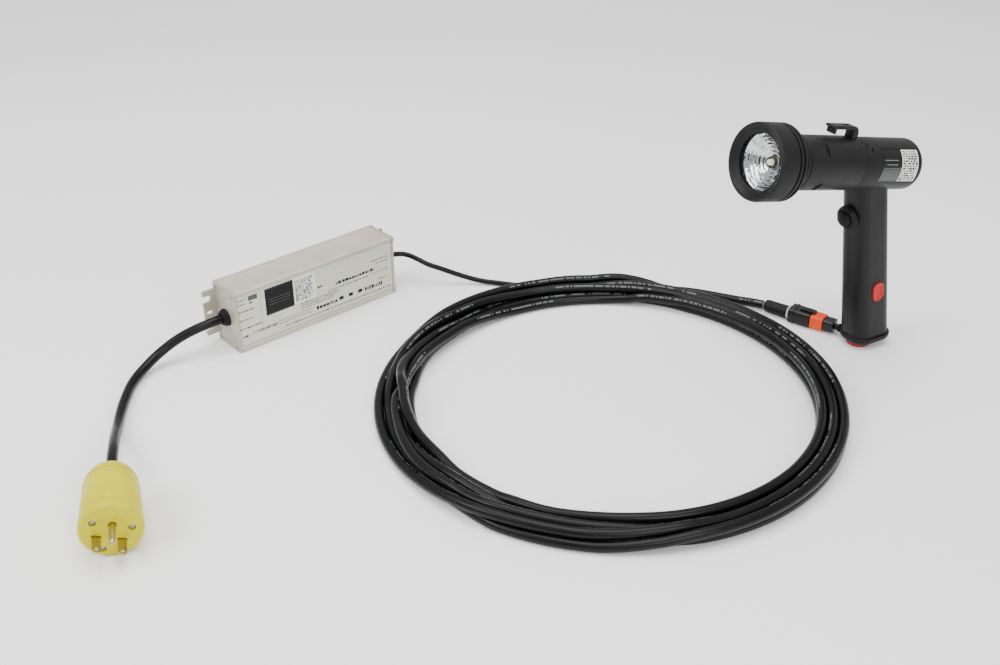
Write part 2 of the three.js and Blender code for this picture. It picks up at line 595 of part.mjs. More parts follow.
function addSupply() {
  const supply = new THREE.Group();
  supply.position.set(supplyPlace[0], supplyPlace[1], 0);
  supply.rotation.z = supplyTurn;
  lamp.add(supply);

  const tubeLength = supplyLength - 2 * plateThickness - 2 * gap;
  const outer = alongSupply(supplyOutline(0), tubeLength, -tubeLength / 2);
  const inner = alongSupply(supplyOutline(supplyWall), tubeLength + 4, -tubeLength / 2 - 2);
  piece(supply, 'supply_case', cut(outer, inner), 'supply');
  piece(supply, 'supply_end_input', endPlate(-1), 'plate');
  piece(supply, 'supply_end_output', endPlate(1), 'plate');

  const face = supplyDepth / 2 - 1.6;
  piece(supply, 'supply_label', block(0.4, 170, 46, [face + gap + 0.2, 0, supplyHeight / 2]), 'label');

  const boardX = -8;
  piece(supply, 'supply_board', block(1.6, 164, 44, [boardX, 0, supplyHeight / 2]), 'board');
  const onBoard = boardX + 0.8 + gap;
  piece(supply, 'supply_transformer', block(18, 34, 30, [onBoard + 9, 8, supplyHeight / 2]), 'copper');
  piece(supply, 'supply_capacitor', rod(7.5, 18, [0, 0, 0], 20).rotateY(Math.PI / 2)
    .translate(onBoard, -30, supplyHeight / 2 + 8), 'cord');
  piece(supply, 'supply_choke', block(14, 22, 20, [onBoard + 7, -58, supplyHeight / 2 - 6]), 'copper');
  piece(supply, 'supply_rectifier', block(4, 16, 20, [onBoard + 2, 52, supplyHeight / 2]), 'cord');

  const gland = (outerRadius, boreRadius, tipRadius) => revolve([
    [boreRadius, -3.8], [7.1, -3.8], [7.1, gap], [outerRadius, gap], [outerRadius, 1.8], [tipRadius, 6],
    [boreRadius, 6]
  ], 16);
  piece(supply, 'input_gland', gland(8.4, 4.7, 5.8).rotateX(Math.PI / 2)
    .translate(0, -supplyLength / 2, supplyHeight / 2), 'rubber');
  piece(supply, 'output_gland', gland(8, 2.9, 4.2).rotateX(-Math.PI / 2)
    .translate(0, supplyLength / 2, supplyHeight / 2), 'rubber');
}

// The plug's own frame: +Z points out of its face, +Y up.
function addPlug() {
  const plug = new THREE.Group();
  plug.position.set(plugFacePlace[0], plugFacePlace[1], plugRadius);
  plug.rotation.set(Math.PI / 2, Math.PI / 2 + plugTurn, plugRoll, 'XYZ');
  lamp.add(plug);

  const faceDepth = 10;
  const clampAngle = 63 * degree;
  const shoulder = -faceDepth - gap;
  const shell = turned([
    [0, -plugLength], [9, -plugLength], [14, -plugLength + 2], [18.2, -plugLength + 7],
    [20.3, -plugLength + 14], [20.3, -plugLength + 18], [21.1, -plugLength + 20], [21.9, -30],
    [22.6, shoulder], [0, shoulder]
  ], 28);
  const chamber = rod(15, 38, [0, 0, -50], 16);
  const mouth = rod(15, 12, [0, 0, shoulder - 4], 16);
  const cordHole = rod(5, 30, [0, -1.8, -plugLength - 5], 20);
  const sideHole = (angle) => rod(3, 6, [0, 0, 0], 16).rotateY(Math.PI / 2).translate(17, 0, -54)
    .rotateZ(angle);
  piece(plug, 'plug_body', cut(shell, chamber, mouth, cordHole, sideHole(clampAngle)), 'yellow');

  const nose = turned([
    [0, -faceDepth], [22.6, -faceDepth], [plugRadius - 0.1, -faceDepth + 2], [plugRadius - 0.1, -1.6],
    [plugRadius - 1.8, 0], [0, 0]
  ], 28);
  const screwPlaces = [[-13.9, 4.7], [13.9, 4.7], [-2.7, -16.9]];
  const screwHoles = screwPlaces.map(([x, y]) => rod(2.6, 5, [x, y, -2.2], 12));
  const bladePlaces = [[-9.13, -6.8], [9.13, -6.8]];
  const groundHeight = 5.1;
  const bladeHoles = bladePlaces.map(([x, y]) => block(7, 2.2, 24, [x, y, -8]));
  const groundHole = rod(2.9, 24, [0, groundHeight, -20], 18);
  piece(plug, 'plug_face', cut(nose, ...screwHoles, ...bladeHoles, groundHole), 'yellow');
  screwPlaces.forEach(([x, y], i) => {
    piece(plug, `plug_screw_${i + 1}`, rod(2.2, 1.6, [x, y, -1.9], 12), 'steel');
  });
  ['left', 'right'].forEach((name, i) => {
    const [x, y] = bladePlaces[i];
    const blade = block(6.3, 1.5, 28, [x, y, 4]);
    const eye = rod(1.5, 6, [0, 0, 0], 12).rotateX(Math.PI / 2).translate(x, y + 3, 14.4);
    piece(plug, `plug_blade_${name}`, cut(blade, eye), 'brass');
  });
  piece(plug, 'plug_ground_pin', turned([
    [0, -11], [2.4, -11], [2.4, 18.4], [1.4, 20.6], [0, 21.2]
  ], 18).translate(0, groundHeight, 0), 'brass');
  const sideScrew = rod(2.4, 1.6, [0, 0, 0], 16).rotateY(Math.PI / 2).translate(18, 0, -54);
  piece(plug, 'plug_clamp_screw', sideScrew.rotateZ(clampAngle), 'steel');
}

addHead();
addRearHousing();
addHook();
addHandle();
addTrigger();
addSideButton();
addDriverBoard();
addBase();
addConnector();
addCords();
addSupply();
addPlug();

export default lamp;
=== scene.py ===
# A corded pistol-grip hand lamp with its coiled cord, power supply and mains plug.
import math
import random

import bmesh
import bpy
import numpy as np
from mathutils import Matrix, Vector


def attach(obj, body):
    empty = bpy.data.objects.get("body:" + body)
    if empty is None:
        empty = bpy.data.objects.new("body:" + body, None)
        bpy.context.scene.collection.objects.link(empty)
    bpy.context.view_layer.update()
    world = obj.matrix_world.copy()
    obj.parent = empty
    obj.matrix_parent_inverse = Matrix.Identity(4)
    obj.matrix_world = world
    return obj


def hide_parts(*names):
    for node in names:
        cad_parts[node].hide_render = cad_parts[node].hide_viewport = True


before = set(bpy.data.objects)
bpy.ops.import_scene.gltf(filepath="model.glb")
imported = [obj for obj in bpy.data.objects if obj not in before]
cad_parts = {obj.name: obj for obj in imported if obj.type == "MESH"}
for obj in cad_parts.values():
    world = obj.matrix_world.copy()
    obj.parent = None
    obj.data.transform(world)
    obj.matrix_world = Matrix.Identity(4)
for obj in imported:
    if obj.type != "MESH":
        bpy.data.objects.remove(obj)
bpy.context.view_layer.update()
degree = math.pi / 180


# Places: each frame takes millimetres and gives metres in the row frame.
def turn(angle, axis):
    return Matrix.Rotation(angle * degree, 4, axis)


def shift(x, y, z):
    return Matrix.Translation((x, y, z))


toMetres = Matrix.Scale(0.001, 4)
rowPlace = toMetres
gripPlace = toMetres @ shift(0, 8, 0) @ turn(11, "X")
barrelPlace = gripPlace @ shift(0, 0, 189.8) @ turn(67, "X")
supplyPlace = toMetres @ shift(-303.4, -428.4, 0) @ turn(12, "Z")
plugPlace = toMetres @ shift(-41, -684.1, 23.3) @ turn(90, "X") @ turn(76, "Y") @ turn(-19, "Z")
linkPlace = toMetres @ shift(-22.8, -8.8, 8) @ turn(203.6, "Z")


# Materials
def colour(code):
    parts = [int(code[i:i + 2], 16) / 255 for i in (1, 3, 5)]
    return (*[p / 12.92 if p <= 0.04045 else ((p + 0.055) / 1.055) ** 2.4 for p in parts], 1)


def add(tree, kind, inputs=None, **settings):
    node = tree.nodes.new("ShaderNode" + kind)
    for key, value in settings.items():
        setattr(node, key, value)
    for key, value in (inputs or {}).items():
        if isinstance(value, bpy.types.NodeSocket):
            tree.links.new(value, node.inputs[key])
        else:
            node.inputs[key].default_value = value
    return node


def blendColour(tree, factor, first, second):
    mix = add(tree, "Mix", {"Factor": factor}, data_type="RGBA")
    for socket, value in ((mix.inputs[6], first), (mix.inputs[7], second)):
        if isinstance(value, bpy.types.NodeSocket):
            tree.links.new(value, socket)
        else:
            socket.default_value = value
    return mix.outputs[2]


# A worn, moulded or metal finish; grain and depth are in millimetres
def surface(name, base, rough, metallic=0.0, grain=0.4, depth=0.02, mottle=0.12, smear=0.1,
            coat=0.0, specular=0.5, stretch=(1, 1, 1), dust=0.0):
    material = bpy.data.materials.new(name)
    material.use_nodes = True
    tree = material.node_tree
    shader = tree.nodes["Principled BSDF"]
    shader.inputs["Metallic"].default_value = metallic
    shader.inputs["Coat Weight"].default_value = coat
    shader.inputs["Coat Roughness"].default_value = 0.2
    shader.inputs["Specular IOR Level"].default_value = specular
    coords = add(tree, "TexCoord").outputs["Object"]
    mapped = add(tree, "Mapping", {"Vector": coords, "Scale": stretch}).outputs["Vector"]
    fine = add(tree, "TexNoise", {"Vector": mapped, "Scale": 1000 / grain, "Detail": 3.0})
    broad = add(tree, "TexNoise", {"Vector": coords, "Scale": 38.0, "Detail": 5.0, "Roughness": 0.62})
    tint = add(tree, "MapRange", {"Value": broad.outputs["Fac"], "From Min": 0.3, "From Max": 0.7,
                                  "To Min": 1 - mottle, "To Max": 1 + mottle})
    speck = add(tree, "MapRange", {"Value": fine.outputs["Fac"], "From Min": 0.3, "From Max": 0.7,
                                   "To Min": 1 - mottle / 2, "To Max": 1 + mottle / 2})
    factor = add(tree, "Math", {0: tint.outputs[0], 1: speck.outputs[0]}, operation="MULTIPLY")
    toned = add(tree, "VectorMath", {0: colour(base)[:3], "Scale": factor.outputs[0]}, operation="SCALE")
    final = toned.outputs["Vector"]
    if dust:
        up = add(tree, "SeparateXYZ", {"Vector": add(tree, "NewGeometry").outputs["Normal"]}).outputs["Z"]
        lie = add(tree, "Math", {0: up, 1: broad.outputs["Fac"]}, operation="MULTIPLY", use_clamp=True)
        amount = add(tree, "Math", {0: lie.outputs[0], 1: dust}, operation="MULTIPLY", use_clamp=True)
        final = blendColour(tree, amount.outputs[0], final, colour("#8c8a84"))
    tree.links.new(final, shader.inputs["Base Color"])
    worn = add(tree, "MapRange", {"Value": broad.outputs["Fac"], "From Min": 0.25, "From Max": 0.75,
                                  "To Min": max(0.02, rough - smear), "To Max": rough + smear})
    tree.links.new(worn.outputs[0], shader.inputs["Roughness"])
    bump = add(tree, "Bump", {"Height": fine.outputs["Fac"], "Distance": depth / 1000, "Strength": 0.8})
    wave = add(tree, "Bump", {"Height": broad.outputs["Fac"], "Distance": 0.00005, "Strength": 0.35,
                              "Normal": bump.outputs["Normal"]})
    tree.links.new(wave.outputs["Normal"], shader.inputs["Normal"])
    return material


# An extruded jacket with a fine draw texture and, on the long cord, a faint repeated print
def cordJacket(name, base, length, printed):
    material = surface(name, base, 0.32, grain=0.9, depth=0.03, mottle=0.18, smear=0.08, specular=0.2)
    if not printed:
        return material
    tree = material.node_tree
    shader = tree.nodes["Principled BSDF"]
    before = shader.inputs["Base Color"].links[0].from_socket
    parts = add(tree, "SeparateXYZ", {"Vector": add(tree, "TexCoord").outputs["UV"]})
    along = add(tree, "Math", {0: parts.outputs["X"], 1: length * 1000}, operation="MULTIPLY").outputs[0]
    cell = add(tree, "Math", {0: along, 1: 1.7}, operation="DIVIDE").outputs[0]
    letter = add(tree, "TexWhiteNoise", {"W": add(tree, "Math", {0: cell}, operation="FLOOR").outputs[0]},
                 noise_dimensions="1D").outputs["Value"]
    filled = add(tree, "Math", {0: letter, 1: 0.35}, operation="GREATER_THAN").outputs[0]
    stroke = add(tree, "Math", {0: add(tree, "Math", {0: cell}, operation="FRACT").outputs[0], 1: 0.72},
                 operation="LESS_THAN").outputs[0]
    repeat = add(tree, "Math", {0: along, 1: 190.0}, operation="DIVIDE").outputs[0]
    wanted = add(tree, "Math", {0: add(tree, "Math", {0: repeat}, operation="FRACT").outputs[0], 1: 0.52},
                 operation="LESS_THAN").outputs[0]
    offset = add(tree, "Math", {0: parts.outputs["Y"], 1: 0.3}, operation="SUBTRACT").outputs[0]
    across = add(tree, "Math", {0: offset}, operation="ABSOLUTE").outputs[0]
    band = add(tree, "Math", {0: across, 1: 0.032}, operation="LESS_THAN").outputs[0]
    ink = filled
    for other in (stroke, wanted, band):
        ink = add(tree, "Math", {0: ink, 1: other}, operation="MULTIPLY").outputs[0]
    faint = add(tree, "Math", {0: ink, 1: 0.38}, operation="MULTIPLY").outputs[0]
    tree.links.new(blendColour(tree, faint, before, colour("#9a9da0")), shader.inputs["Base Color"])
    return material


# Shapes, in millimetres
def lathe(profile, steps=96):
    bm = bmesh.new()
    ring = [bm.verts.new((r, 0, z)) for r, z in profile]
    edges = [bm.edges.new(pair) for pair in zip(ring, ring[1:])]
    bmesh.ops.spin(bm, geom=ring + edges, axis=(0, 0, 1), cent=(0, 0, 0), angle=2 * math.pi,
                   steps=steps, use_merge=True)
    bmesh.ops.remove_doubles(bm, verts=bm.verts, dist=0.0005)
    return bm


def closed(profile):
    return [*profile, profile[0]]


def outlineRect(width, height, corner, steps=8):
    points = []
    for k in range(4):
        cx = (width / 2 - corner) * (1 if k in (0, 3) else -1)
        cy = (height / 2 - corner) * (1 if k < 2 else -1)
        for i in range(steps + 1):
            angle = (k + i / steps) * math.pi / 2
            points.append((cx + corner * math.cos(angle), cy + corner * math.sin(angle)))
    return points


def outlineOval(width, height, steps=20):
    straight = (height - width) / 2
    points = []
    for side, start in ((straight, 0), (-straight, math.pi)):
        for i in range(steps + 1):
            angle = start + i / steps * math.pi
            points.append((width / 2 * math.cos(angle), side + width / 2 * math.sin(angle)))
    return points


def loft(rings, capped=True):
    bm = bmesh.new()
    rows = [[bm.verts.new(p) for p in ring] for ring in rings]
    for low, high in zip(rows, rows[1:]):
        for i in range(len(low)):
            j = (i + 1) % len(low)
            bm.faces.new((low[i], low[j], high[j], high[i]))
    if capped:
        bm.faces.new(rows[0][::-1])
        bm.faces.new(rows[-1])
    return bm


def prism(outline, low, high):
    return loft([[(x, y, low) for x, y in outline], [(x, y, high) for x, y in outline]])


def box(width, depth, height, at=(0, 0, 0)):
    bm = bmesh.new()
    bmesh.ops.create_cube(bm, size=1, matrix=shift(*at) @ Matrix.Diagonal((width, depth, height, 1)))
    return bm


def moved(bm, matrix):
    bmesh.ops.transform(bm, matrix=matrix, verts=bm.verts)
    return bm


def together(*parts):
    bm = bmesh.new()
    for part in parts:
        held = bpy.data.meshes.new("held")
        part.to_mesh(held)
        bm.from_mesh(held)
        bpy.data.meshes.remove(held)
        part.free()
    return bm


def rawObject(name, bm, place):
    bm.transform(place)
    bmesh.ops.recalc_face_normals(bm, faces=bm.faces)
    mesh = bpy.data.meshes.new(name)
    bm.to_mesh(mesh)
    bm.free()
    made = bpy.data.objects.new(name, mesh)
    bpy.context.scene.collection.objects.link(made)
    return made


def applyModifier(target, modifier):
    graph = bpy.context.evaluated_depsgraph_get()
    done = bpy.data.meshes.new_from_object(target.evaluated_get(graph))
    target.modifiers.remove(modifier)
    old = target.data
    target.data = done
    bpy.data.meshes.remove(old)


def carve(target, bm, place):
    cutter = rawObject("cutter", bm, place)
    modifier = target.modifiers.new("cut", "BOOLEAN")
    modifier.operation = "DIFFERENCE"
    modifier.solver = "EXACT"
    modifier.object = cutter
    applyModifier(target, modifier)
    bpy.data.objects.remove(cutter)


def piece(name, bm, place, finish, body="lamp", soften=0.25, cuts=(), limit=32, cad=()):
    made = rawObject(name, bm, place)
    for cutter, cutterPlace in cuts:
        carve(made, cutter, cutterPlace)
    made.data.materials.clear()
    made.data.materials.append(finish)
    for face in made.data.polygons:
        face.use_smooth = True
        face.material_index = 0
    if soften:
        bevel = made.modifiers.new("soft edges", "BEVEL")
        bevel.width = soften / 1000
        bevel.segments = 3
        bevel.limit_method = "ANGLE"
        bevel.angle_limit = limit * degree
        bevel.harden_normals = True
        bevel.use_clamp_overlap = True
    else:
        made.data.set_sharp_from_angle(angle=limit * degree)
    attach(made, body)
    if cad:
        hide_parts(*cad)
    return made


# Camera
camera = bpy.data.objects.new("camera", bpy.data.cameras.new("camera"))
camera.data.lens = 43.2
camera.data.sensor_width = 36
camera.location = (0.67723, -0.77027, 0.5835)
camera.rotation_euler = Vector((-0.748997, 0.423762, -0.509342)).to_track_quat("-Z", "Y").to_euler()
bpy.context.scene.collection.objects.link(camera)
bpy.context.scene.camera = camera
print("camera")


# Cords
cords = {
    "mains": [
        (-283.3, -522.7, 30.8), (-281.2, -532.6, 30.7), (-280.8, -546, 28.6), (-282.4, -562, 23),
        (-281.6, -581, 14), (-273.5, -598.6, 7.4), (-259, -613.5, 4.8), (-239, -625, 4.7),
        (-216, -635.5, 5),
        (-192, -644, 7.4), (-168, -651.2, 13.6), (-146, -657, 19.2), (-127, -662.4, 21.4),
        (-107.4, -667.3, 21.5),
    ],
    "lead": [
        (-323.4, -334.1, 30.8), (-324.4, -325.5, 30.4), (-321.2, -315.5, 29), (-312, -308, 26.5),
        (-301.2, -300.6, 23), (-294.3, -289.6, 18.4), (-285.6, -272.2, 10.4), (-275, -255, 4.6),
        (-262.8, -238.6, 2.9), (-251.2, -226.4, 2.9), (-242.8, -217.6, 3.9), (-236.8, -207, 5.2),
        (-233, -197.3, 5.2),
    ],
    "tail": [
        (-166, -100.4, 4.5), (-153, -86, 4.45), (-139, -73, 4.45), (-124, -61.4, 4.6), (-110, -51.4, 5.2),
        (-99, -43.8, 6.1), (-90.2, -38.4, 6.5),
    ],
    "mainsDiameter": 8.8, "leadDiameter": 5.2, "longDiameter": 8.7,
}
coil = {
    "centre": (-32.8, -260.8), "inner": 164, "outer": 203, "turns": 6, "perTurn": 96,
    "from": 154.6, "to": 129.7, "startRadius": 210.6, "endRadius": 208.5, "widest": 232,
    # rounds of settling, how many of them also smooth, and how many points ease into each end
    "rounds": 1200, "smoothed": 1180, "endReach": 9,
    # where each half turn lies across the bundle, -1 inside and 1 outside
    "lanes": [1.0, 0.15, -0.8, -0.25, 0.7, 0.35, -0.95, -0.6, 0.1, 0.85, -0.3, 0.5, 0.75],
    "layers": [0, 1, 2, 3, 8, 10, 9, 12, 13, 15, 14, 17, 16],
}


def spline(name, points, diameter, finish):
    curve = bpy.data.curves.new(name, "CURVE")
    curve.dimensions = "3D"
    curve.bevel_depth = diameter / 2000
    curve.bevel_resolution = 8
    curve.resolution_u = 4
    curve.use_fill_caps = True
    line = curve.splines.new("BEZIER")
    line.bezier_points.add(len(points) - 1)
    for target, point in zip(line.bezier_points, points):
        target.co = Vector(point) / 1000
        target.handle_left_type = target.handle_right_type = "AUTO"
    made = bpy.data.objects.new(name, curve)
    bpy.context.scene.collection.objects.link(made)
    curve.materials.append(finish)
    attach(made, "lamp")
    return made


def pathLength(points):
    return sum((Vector(a) - Vector(b)).length for a, b in zip(points, points[1:])) / 1000


def coilPath():
    thick = cords["longDiameter"] + 0.25
    step = 360 / coil["perTurn"]
    count = int((coil["from"] - coil["to"]) / step) + coil["turns"] * coil["perTurn"] + 1
    angles = coil["from"] - step * np.arange(count)
    half = np.linspace(0, len(coil["lanes"]) - 1, count)
    knots = np.arange(len(coil["lanes"]))
    smooth = np.floor(half) + (1 - np.cos(np.pi * (half - np.floor(half)))) / 2
    lanes = np.interp(smooth, knots, coil["lanes"])
    height = np.interp(half, knots, coil["layers"]) + thick / 2
    lean = np.cos((angles - coil["widest"]) * degree)     # the bundle spreads widest on this side
    outer = np.full(count, coil["outer"] - thick / 2 - 0.2)
    inner = coil["inner"] + thick / 2 + 6.5 * (1 - lean) * 0.9
    radius = (outer + inner) / 2 + lanes * (outer - inner) / 2
    radius += 1.1 * np.sin(angles * degree * 3.3 + half) + 0.8 * np.sin(angles * degree * 7.1 + 2 * half)
    reach = coil["endReach"]
    for i in range(reach):
        share = (1 + math.cos(math.pi * i / reach)) / 2
        radius[i] += share * (coil["startRadius"] - radius[i])
        radius[-1 - i] += share * (coil["endRadius"] - radius[-1 - i])
        height[i] += share * (5.2 - height[i])
        height[-1 - i] += share * (4.5 - height[-1 - i])
    radius[0], radius[-1], height[0], height[-1] = coil["startRadius"], coil["endRadius"], 5.2, 4.5
    limit = np.maximum(outer, np.interp(np.arange(count), [0, reach, count - 1 - reach, count - 1],
                                        [coil["startRadius"], coil["outer"] - thick / 2,
                                         coil["outer"] - thick / 2, coil["endRadius"]]))
    for step in range(coil["rounds"]):
        height[1:-1] -= 0.05
        for lap in range(1, coil["turns"] + 1):
            apart = lap * coil["perTurn"]
            if apart >= count:
                break
            across = radius[apart:] - radius[:-apart]
            above = height[apart:] - height[:-apart]
            distance = np.maximum(np.hypot(across, above), 0.01)
            push = np.maximum(0, thick - distance) / 2 / distance
            radius[apart:] += push * across
            radius[:-apart] -= push * across
            height[apart:] += push * above
            height[:-apart] -= push * above
        if step < coil["smoothed"]:
            for values in (radius, height):
                values[1:-1] += 0.5 * ((values[2:] + values[:-2]) / 2 - values[1:-1])
        radius = np.clip(radius, inner, limit)
        height = np.clip(height, thick / 2 + 0.1, coil["turns"] * 4.0)
        radius[0], radius[-1], height[0], height[-1] = coil["startRadius"], coil["endRadius"], 5.2, 4.5
    x, y = coil["centre"]
    return [(x + r * math.cos(a * degree), y + r * math.sin(a * degree), h)
            for r, a, h in zip(radius, angles, height)]


longRoute = coilPath()[:-1] + cords["tail"]
longLength = pathLength(longRoute)
jacket = cordJacket("satin black cord jacket with faint print", "#080809", longLength, True)
plainJacket = cordJacket("satin black cord jacket", "#080809", 1, False)
mainsCord = spline("mainsCord", cords["mains"], cords["mainsDiameter"], plainJacket)
outputLead = spline("outputLead", cords["lead"], cords["leadDiameter"], plainJacket)
longCord = spline("longCord", longRoute, cords["longDiameter"], jacket)
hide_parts("mains_cord")
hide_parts("output_lead")
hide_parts("cord_coil", "cord_tail")
print("cords", round(longLength, 3), round(pathLength(cords["mains"]), 3),
      round(pathLength(cords["lead"]), 3))


# Lamp finishes
# Spark-textured nylon: dark, with a soft broad sheen; the grain is drawn coarser than it is
housing = surface("matte charcoal moulded nylon", "#0e0e10", 0.45, grain=0.55, depth=0.03, mottle=0.14,
                  specular=0.22, dust=0.03)
# Moulded rubber: duller and flatter than the housing
blackRubber = surface("matt black rubber", "#0d0d0e", 0.6, grain=0.7, depth=0.03, mottle=0.18, specular=0.2,
                      dust=0.04)
# Glass-filled nylon: a little glossier, so its edges catch the light
blackNylon = surface("satin black glass-filled nylon", "#0d0d0f", 0.34, grain=0.45, depth=0.02, mottle=0.14,
                     specular=0.35)
# A moulded button with one small soft highlight
redPlastic = surface("satin red plastic", "#a60d09", 0.36, grain=0.5, depth=0.012, mottle=0.12,
                     specular=0.3)
# A rubber foot: no shine, and dust where it faces up
redRubber = surface("matt red rubber", "#8c1610", 0.7, grain=0.6, depth=0.02, mottle=0.16, dust=0.2)
# A bright moulded wedge, smoother than the black round it
orangeSeal = surface("satin orange plastic", "#dc4303", 0.34, grain=0.5, depth=0.012, mottle=0.1,
                     specular=0.3)
# A pale ring that shows where the connector ends
lightRing = surface("satin grey plastic ring", "#b9b9b6", 0.42, grain=0.5, depth=0.012, mottle=0.08)
# Thin film: smooth, so it mirrors the light a little
darkFilm = surface("printed black label film", "#060607", 0.3, grain=0.3, depth=0.004, mottle=0.06,
                   specular=0.3, coat=0.08)
# Flat print with no grain of its own
whiteInk = surface("white label print", "#d9d9d6", 0.42, grain=0.3, depth=0.003, mottle=0.03)
# Print that stays just above the black of its film
greyInk = surface("grey label print", "#3c3e40", 0.4, grain=0.3, depth=0.003, mottle=0.05)
# Small grey words, dimmer than the white print
dimInk = surface("dim grey label print", "#8b8c8c", 0.42, grain=0.3, depth=0.003, mottle=0.04)
# Flat black print on the pale labels
blackInk = surface("black label print", "#070708", 0.45, grain=0.3, depth=0.003, mottle=0.05, specular=0.2)
# Turned metal: bright, with a slightly rough sheen
bareAluminium = surface("machined aluminium", "#b9bbbd", 0.34, metallic=1, grain=0.5, depth=0.015,
                        mottle=0.06)
# Green lacquer over copper
boardFinish = surface("green solder mask", "#1d5636", 0.42, grain=0.6, depth=0.02, mottle=0.12)
# Component plastic, dark and plain
switchFinish = surface("moulded black component plastic", "#262628", 0.5, grain=0.5, depth=0.015,
                       mottle=0.1)
# Dark oxide with a faint metal glint
blackScrew = surface("black oxide steel", "#2c2c2d", 0.34, metallic=0.9, grain=0.35, depth=0.01, mottle=0.1)
# Zinc plate: cool and bright
screwSteel = surface("zinc plated steel", "#a9a9a4", 0.3, metallic=1, grain=0.35, depth=0.01, mottle=0.1)
# Plated plastic: a mirror with broad ripples that break up what it shows
reflectorChrome = surface("orange-peel mirror chrome", "#eceef0", 0.05, metallic=1, grain=3.4, depth=0.45,
                          mottle=0.02, smear=0.02)
# The yellow coat of the light source, faintly lit
phosphor = surface("yellow phosphor", "#f0dd8a", 0.35, grain=0.4, depth=0.01, mottle=0.05)
phosphorShader = phosphor.node_tree.nodes["Principled BSDF"]
phosphorShader.inputs["Emission Color"].default_value = colour("#fff6dc")
phosphorShader.inputs["Emission Strength"].default_value = 0.9
# Clear plate: nearly nothing but its reflections
clearLens = surface("clear polycarbonate lens", "#2a3036", 0.04, grain=0.6, depth=0.002, mottle=0.02,
                    smear=0.02)
clearLens.node_tree.nodes["Principled BSDF"].inputs["Alpha"].default_value = 0.1


# A stand-in for a plain block or can: the node's own shape with rounded edges
def softCopy(name, node, finish, body="lamp", soften=0.25):
    bm = bmesh.new()
    bm.from_mesh(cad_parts[node].data)
    bmesh.ops.remove_doubles(bm, verts=bm.verts, dist=0.00001)
    bmesh.ops.dissolve_limit(bm, angle_limit=2 * degree, verts=bm.verts, edges=bm.edges)
    return piece(name, bm, Matrix.Identity(4), finish, body, soften, cad=(node,))


def slab(inner, outer, fromAngle, toAngle, low, high):
    steps = max(1, round((toAngle - fromAngle) / 3))
    angles = [(fromAngle + (toAngle - fromAngle) * i / steps) * degree for i in range(steps + 1)]
    arc = [(outer * math.cos(a), outer * math.sin(a)) for a in angles]
    arc += [(inner * math.cos(a), inner * math.sin(a)) for a in reversed(angles)]
    return prism(arc, low, high)


# A pan head standing on z = 0, with its cross recess
def screw(name, place, radius, height, finish, cad=()):
    dome = [(0, 0), (radius, 0), (radius, height * 0.35)]
    dome += [(radius * math.cos(a * degree), height * (0.35 + 0.65 * math.sin(a * degree))) for a in (25,
        45, 65)]
    dome += [(0, height)]
    width = radius * 0.24
    bars = [box(radius * 1.25, width, height, (0, 0, height * 0.92)),
            box(width, radius * 1.25, height, (0, 0, height * 0.921))]
    return piece(name, lathe(dome, 32), place, finish, soften=0.08, cuts=[(b, place) for b in bars],
                 cad=cad)


# Head
headForward = 4                        # how far the head stands in front of its own profiles
headPlace = barrelPlace @ shift(0, 0, headForward)
piece("bezelRing", lathe(closed([
    (28.2, 96.8), (31, 96.8), (32, 97.8), (32, 99.9), (30.4, 100.1), (30.4, 101.5), (32, 101.7),
    (32, 104.1),
    (30.4, 104.3), (30.4, 105.7), (32, 105.9), (32, 122.2), (31.6, 123.5), (30.6, 124.25), (29.6, 124.2),
    (28.4, 123.4), (27.4, 122.2), (27, 122.1), (26.5, 121.3), (25, 120.5), (23.8, 120.2), (23.2, 119.5),
    (23.2, 118.5), (28.2, 118.5),
]), 128), headPlace, housing, soften=0.3, cad=("bezel_ring",))
piece("lens", lathe([(0, 116), (27.6, 116), (27.6, 117.9), (27.3, 118.2), (0, 118.2)], 96), headPlace,
      clearLens, soften=0, cad=("lens_glass",))
softCopy("lensSeal", "lens_seal", blackRubber, soften=0.2)
dish = [(r, 102.9 + 11 * (r / 24) ** 2 + 0.12 * math.sin(2.1 * r)) for r in np.linspace(5.5, 23.9, 24)]
back = [(r + 0.6, z - 1.2) for r, z in reversed(dish)]
piece("reflector", lathe(closed([*dish, (24.4, 113.9), (27.4, 113.9), (27.4, 112.7), (24.6, 112.6), *back]),
                         44),
      headPlace, reflectorChrome, soften=0, limit=3, cad=("reflector",))
softCopy("ledBoard", "led_board", bareAluminium)
dome = [(2.5 * math.cos(a * degree), 107.9 + 2.4 * math.sin(a * degree)) for a in range(0, 90, 10)]
piece("ledHolder", lathe(closed([
    (2.9, 103.2), (4.7, 103.2), (5.1, 103.8), (5.1, 104.5), (4.9, 105), (4.9, 106.4), (4.5, 107.1),
    (3.6, 106.6), (2.9, 105.4),
]), 48), headPlace, switchFinish, soften=0.12)
piece("ledEmitter", lathe([(0, 102.4), (4.4, 102.4), (4.4, 102.9), (2.6, 102.9), (2.6, 107.5), *dome,
                           (0, 110.3)], 48),
      headPlace, phosphor, soften=0.08, cad=("led_emitter",))
softCopy("heatSink", "heat_sink", bareAluminium, soften=0.2)
neckFlats = [(moved(prism(outlineRect(17, 19, 4.5, 6), -3, 3), turn(45 + 90 * i, "Z") @ shift(0, 24.7, 75.2)
                    @ turn(90, "Y") @ turn(90, "X")), barrelPlace) for i in range(4)]
piece("frontBarrel", lathe(closed([
    (17.2, 15.6), (19.6, 15.6), (19.6, 24.9), (22.6, 24.9), (22.9, 25.2), (22.9, 85), (23.5, 85.5),
    (23.5, 87.3),
    (22.9, 87.8), (22.9, 89.5), (23.5, 90), (23.5, 91.8), (22.9, 92.3), (22.9, 98.9), (23.6, 99.7),
    (27.8, 101.4),
    (27.8, 116.4), (25, 116.4), (20.5, 108.4), (20.5, 30.6), (17.2, 27.6),
]), 128), barrelPlace, housing, soften=0.25, cuts=neckFlats, cad=("front_barrel",))
